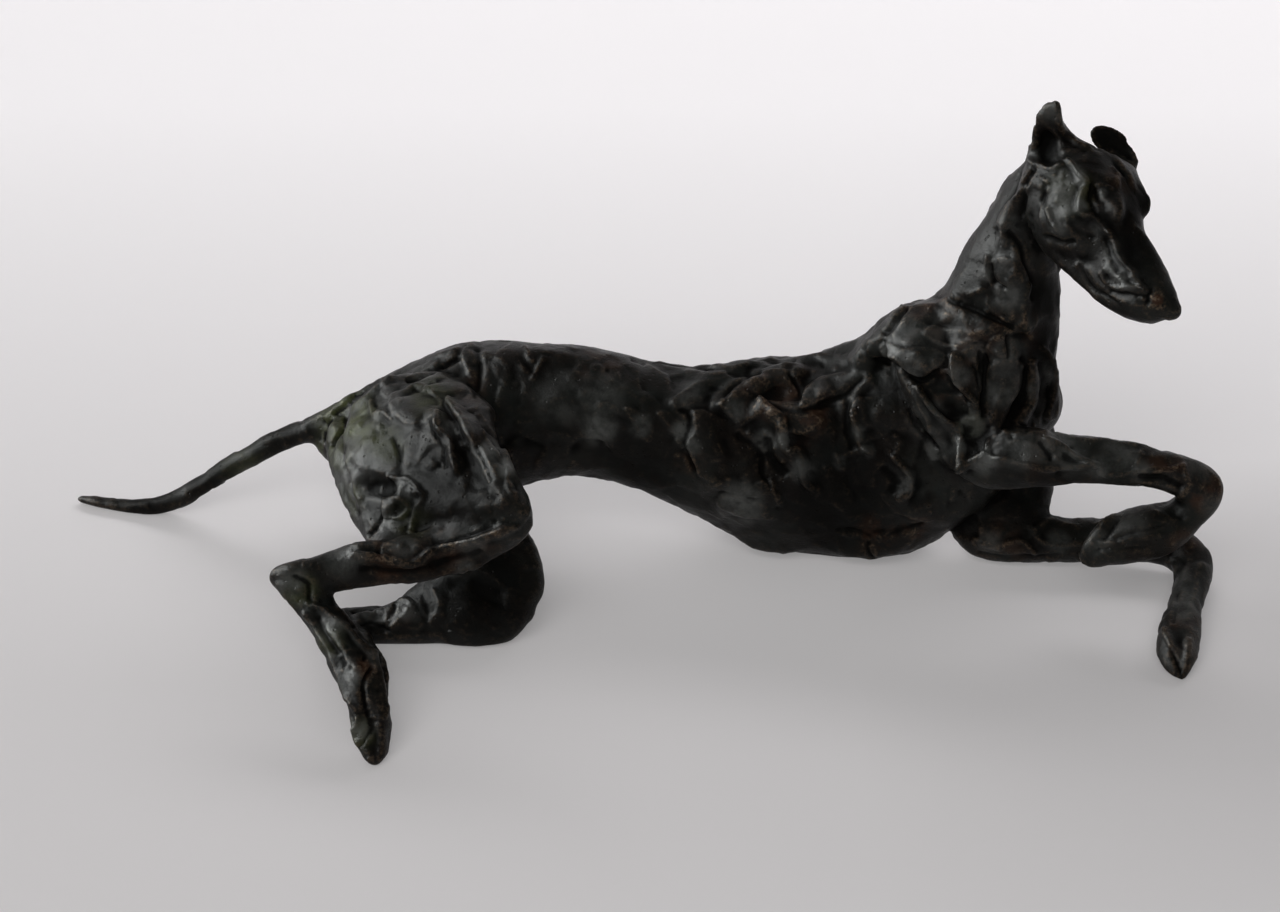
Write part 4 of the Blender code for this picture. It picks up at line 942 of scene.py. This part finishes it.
def bronze():
    """Colours laid over each other by clouds of noise and by the wear, dirt, painted sheen and painted
    shade stored on
    the mesh: each is mixed over the last by a cloud's share times a mark's."""
    material = bpy.data.materials.new("dark_bronze")
    material.use_nodes = True
    tree = material.node_tree
    shader = tree.nodes["Principled BSDF"]
    edge, hollow_dirt_and_painted_shade, rubbed, greened, painted_sheen = (
        put(tree, "ShaderNodeAttribute", attribute_name=name).outputs["Fac"] for name in wear_and_painted_light)
    wide = cloud(tree, *WIDE)
    middling = cloud(tree, *MIDDLING)
    grain = cloud(tree, *GRAIN)
    colour = blend(tree, between(tree, wide, *GREY_CLOUD), BROWN_BLACK, GREY_GREEN)
    warm_share = product(tree, between(tree, rubbed, *WARM_UNRUBBED), between(tree, middling, *WARM_CLOUD))
    warm_share = worked_out(tree, "MAXIMUM", warm_share, between(tree, rubbed, *WORN_THROUGH))
    colour = blend(tree, warm_share, colour, WARM_BROWN)
    bare_share = product(tree, product(tree, edge, between(tree, rubbed, *BARE_UNRUBBED)),
                         between(tree, grain, *BARE_GRAIN))
    colour = blend(tree, bare_share, colour, BARE_METAL)
    colour = blend(tree, product(tree, greened, between(tree, middling, *GREEN_CLOUD)), colour, PALE_GREEN)
    # Painted sheen: lighter grey colour laid on the lit spots.
    sheen_share = product(tree, painted_sheen, between(tree, middling, *SHEEN_CLOUD))
    colour = blend(tree, sheen_share, colour, PAINTED_SHEEN_GREY)
    # Dirt kept in the hollows, and painted shade on the shaded spots.
    colour = blend(tree, product(tree, hollow_dirt_and_painted_shade, DIRT_AND_SHADE_SHARE), colour, DIRT_AND_PAINTED_SHADE)
    tree.links.new(colour, shader.inputs["Base Color"])
    dull = total(tree, between(tree, middling, *DULL_CLOUD),
                 product(tree, total(tree, hollow_dirt_and_painted_shade, greened), DULLER))
    tree.links.new(dull, shader.inputs["Roughness"])
    tree.links.new(product(tree, bare_share, METAL_SHARE), shader.inputs["Metallic"])
    where = put(tree, "ShaderNodeTexCoord").outputs["Object"]
    pits = put(tree, "ShaderNodeTexVoronoi", (("Vector", where), ("Scale", PIT_CELLS))).outputs["Distance"]
    pitted = product(tree, between(tree, pits, *PIT_DEPTH), between(tree, middling, *PIT_CLOUD))
    bump = put(tree, "ShaderNodeBump", (("Height", total(tree, product(tree, grain, GRAIN_HEIGHT), pitted)),
                                        ("Strength", BUMP_STRENGTH), ("Distance", BUMP_DEPTH)))
    tree.links.new(bump.outputs[0], shader.inputs["Normal"])
    tree.links.new(bump.outputs[0], shader.inputs["Coat Normal"])
    wax = total(tree, between(tree, hollow_dirt_and_painted_shade, *WAX_IN_HOLLOW_AND_SHADE), product(tree, sheen_share, WAX_ON_SHEEN))
    tree.links.new(wax, shader.inputs["Coat Weight"])
    shader.inputs["Coat Roughness"].default_value = WAX_ROUGHNESS
    shader.inputs["Specular IOR Level"].default_value = BARE_GLOSS
    return material


greyhound.data.materials.clear()
greyhound.data.materials.append(bronze())
greyhound.data.shade_smooth()
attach(greyhound, "root")
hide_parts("greyhound")


# The ground: a plain pale paper sweep, one sheet that rises behind the statue in a curve.
# Its colour is painted shade, darker in front and lighter behind, with a painted shadow in a band at the
# right, as in the photograph, and a faint glow of its own, painted light, stands for the even light of the
# studio.
SWEEP_REACH = 3.0
SWEEP_FLAT = 1.5
SWEEP_BEND = 1.2
SWEEP_STEPS = 24
SWEEP_HALF_WIDTH = 4.0
PAPER_FRONT_SHADED = (0.575, 0.564, 0.564, 1.0)
PAPER_PAINTED_SHADOW = (0.440, 0.431, 0.431, 1.0)
PAPER_BACK_LIT = (0.835, 0.821, 0.828, 1.0)
BACKWARDS = (-0.05, 0.5)
SHADOW_RIGHTWARDS = (0.10, 0.36)
SHADOW_BAND_BACK = (0.13, 0.0)
SHADOW_BAND_FRONT = (-0.26, -0.10)
FIBRE = (900.0, 3.0, 0.6)
FIBRE_STRENGTH = 0.1
FIBRE_DEPTH = 0.0001
PAPER_GLOW = 0.33
PAPER_ROUGHNESS = 0.9
PAPER_GLOSS = 0.0


def sweep():
    """A floor that curves up into a wall: a flat run, a quarter circle and an upright run."""
    angles = np.linspace(0.0, math.pi / 2, SWEEP_STEPS)
    run = np.concatenate(((-SWEEP_REACH,), SWEEP_FLAT + SWEEP_BEND * np.sin(angles),
                          (SWEEP_FLAT + SWEEP_BEND,)))
    rise = np.concatenate(((0.0,), SWEEP_BEND * (1 - np.cos(angles)), (SWEEP_REACH,)))
    verts = [(x, y, z) for y, z in zip(run, rise) for x in (-SWEEP_HALF_WIDTH, SWEEP_HALF_WIDTH)]
    faces = [(2 * i, 2 * i + 1, 2 * i + 3, 2 * i + 2) for i in range(len(run) - 1)]
    mesh = bpy.data.meshes.new("paper_sweep")
    mesh.from_pydata(verts, [], faces)
    mesh.shade_smooth()
    return mesh


def pale_paper():
    """Matt paper with painted shade: its colour grows lighter evenly with the distance behind the statue,
    and darkens to a painted shadow where the shares to the right, behind the shadow's front edge and before
    its back edge multiply."""
    material = bpy.data.materials.new("pale_paper")
    material.use_nodes = True
    tree = material.node_tree
    shader = tree.nodes["Principled BSDF"]
    where = put(tree, "ShaderNodeTexCoord").outputs["Object"]
    split = put(tree, "ShaderNodeSeparateXYZ", ((0, where),))
    across, behind = split.outputs[0], split.outputs[1]
    # Painted shade: the paper is darker in front and lighter behind.
    colour = blend(tree, between(tree, behind, *BACKWARDS), PAPER_FRONT_SHADED, PAPER_BACK_LIT)
    # Painted shadow: a darker strip of floor on the right.
    shadow_band = product(tree, between(tree, behind, *SHADOW_BAND_BACK), between(tree, behind, *SHADOW_BAND_FRONT))
    shadow_band = product(tree, between(tree, across, *SHADOW_RIGHTWARDS), shadow_band)
    colour = blend(tree, shadow_band, colour, PAPER_PAINTED_SHADOW)
    tree.links.new(colour, shader.inputs["Base Color"])
    # Painted light: the paper glows in its own colour, which softens its shadows.
    tree.links.new(colour, shader.inputs["Emission Color"])
    bump = put(tree, "ShaderNodeBump", (("Height", cloud(tree, *FIBRE)), ("Strength", FIBRE_STRENGTH),
                                        ("Distance", FIBRE_DEPTH)))
    tree.links.new(bump.outputs[0], shader.inputs["Normal"])
    shader.inputs["Emission Strength"].default_value = PAPER_GLOW
    shader.inputs["Roughness"].default_value = PAPER_ROUGHNESS
    shader.inputs["Specular IOR Level"].default_value = PAPER_GLOSS
    return material


paper = bpy.data.objects.new("paper_sweep", sweep())
bpy.context.scene.collection.objects.link(paper)
paper.data.materials.append(pale_paper())


# Light: a big low window on the left, which only the gloss mirrors, on the planes that face it.
# Matt surfaces are lit evenly from the front, from the ceiling and along the backdrop.
# A lamp's row is (name, place, aim, width, height, watts, colour, surfaces that it lights).
LAMPS = (
    ("window", (-4.05, 0.55, 1.6), (0.0, 0.0, 0.1), 3.6, 2.8, 560.0, (0.97, 1.0, 0.99), "gloss"),
    ("front", (-0.8, -2.3, 2.3), (0.1, 0.1, 0.0), 3.0, 2.2, 44.0, (1.0, 0.985, 0.98), "matt"),
    ("ceiling", (-0.3, 0.1, 2.4), (0.0, 0.1, 0.0), 4.0, 3.0, 7.0, (1.0, 0.98, 0.98), "matt"),
    ("backdrop", (0.5, 1.7, 1.5), (0.3, 1.0, 0.0), 3.4, 0.6, 24.0, (1.0, 0.98, 1.0), "matt"),
)
ROOM_COLOUR = (0.96, 0.96, 1.0, 1.0)
ROOM_STRENGTH = 0.08

for name, place, aim, width, height, watts, colour, surfaces in LAMPS:
    lamp = bpy.data.lights.new(name, "AREA")
    lamp.shape = "RECTANGLE"
    lamp.size = width
    lamp.size_y = height
    lamp.energy = watts
    lamp.color = colour
    holder = bpy.data.objects.new(name, lamp)
    holder.location = place
    holder.rotation_euler = (Vector(aim) - Vector(place)).to_track_quat("-Z", "Y").to_euler()
    holder.visible_glossy = surfaces == "gloss"
    holder.visible_diffuse = surfaces == "matt"
    bpy.context.scene.collection.objects.link(holder)

room = bpy.data.worlds.new("room")
room.use_nodes = True
room.node_tree.nodes["Background"].inputs["Color"].default_value = ROOM_COLOUR
room.node_tree.nodes["Background"].inputs["Strength"].default_value = ROOM_STRENGTH
bpy.context.scene.world = room
bpy.context.scene.view_settings.view_transform = "Standard"
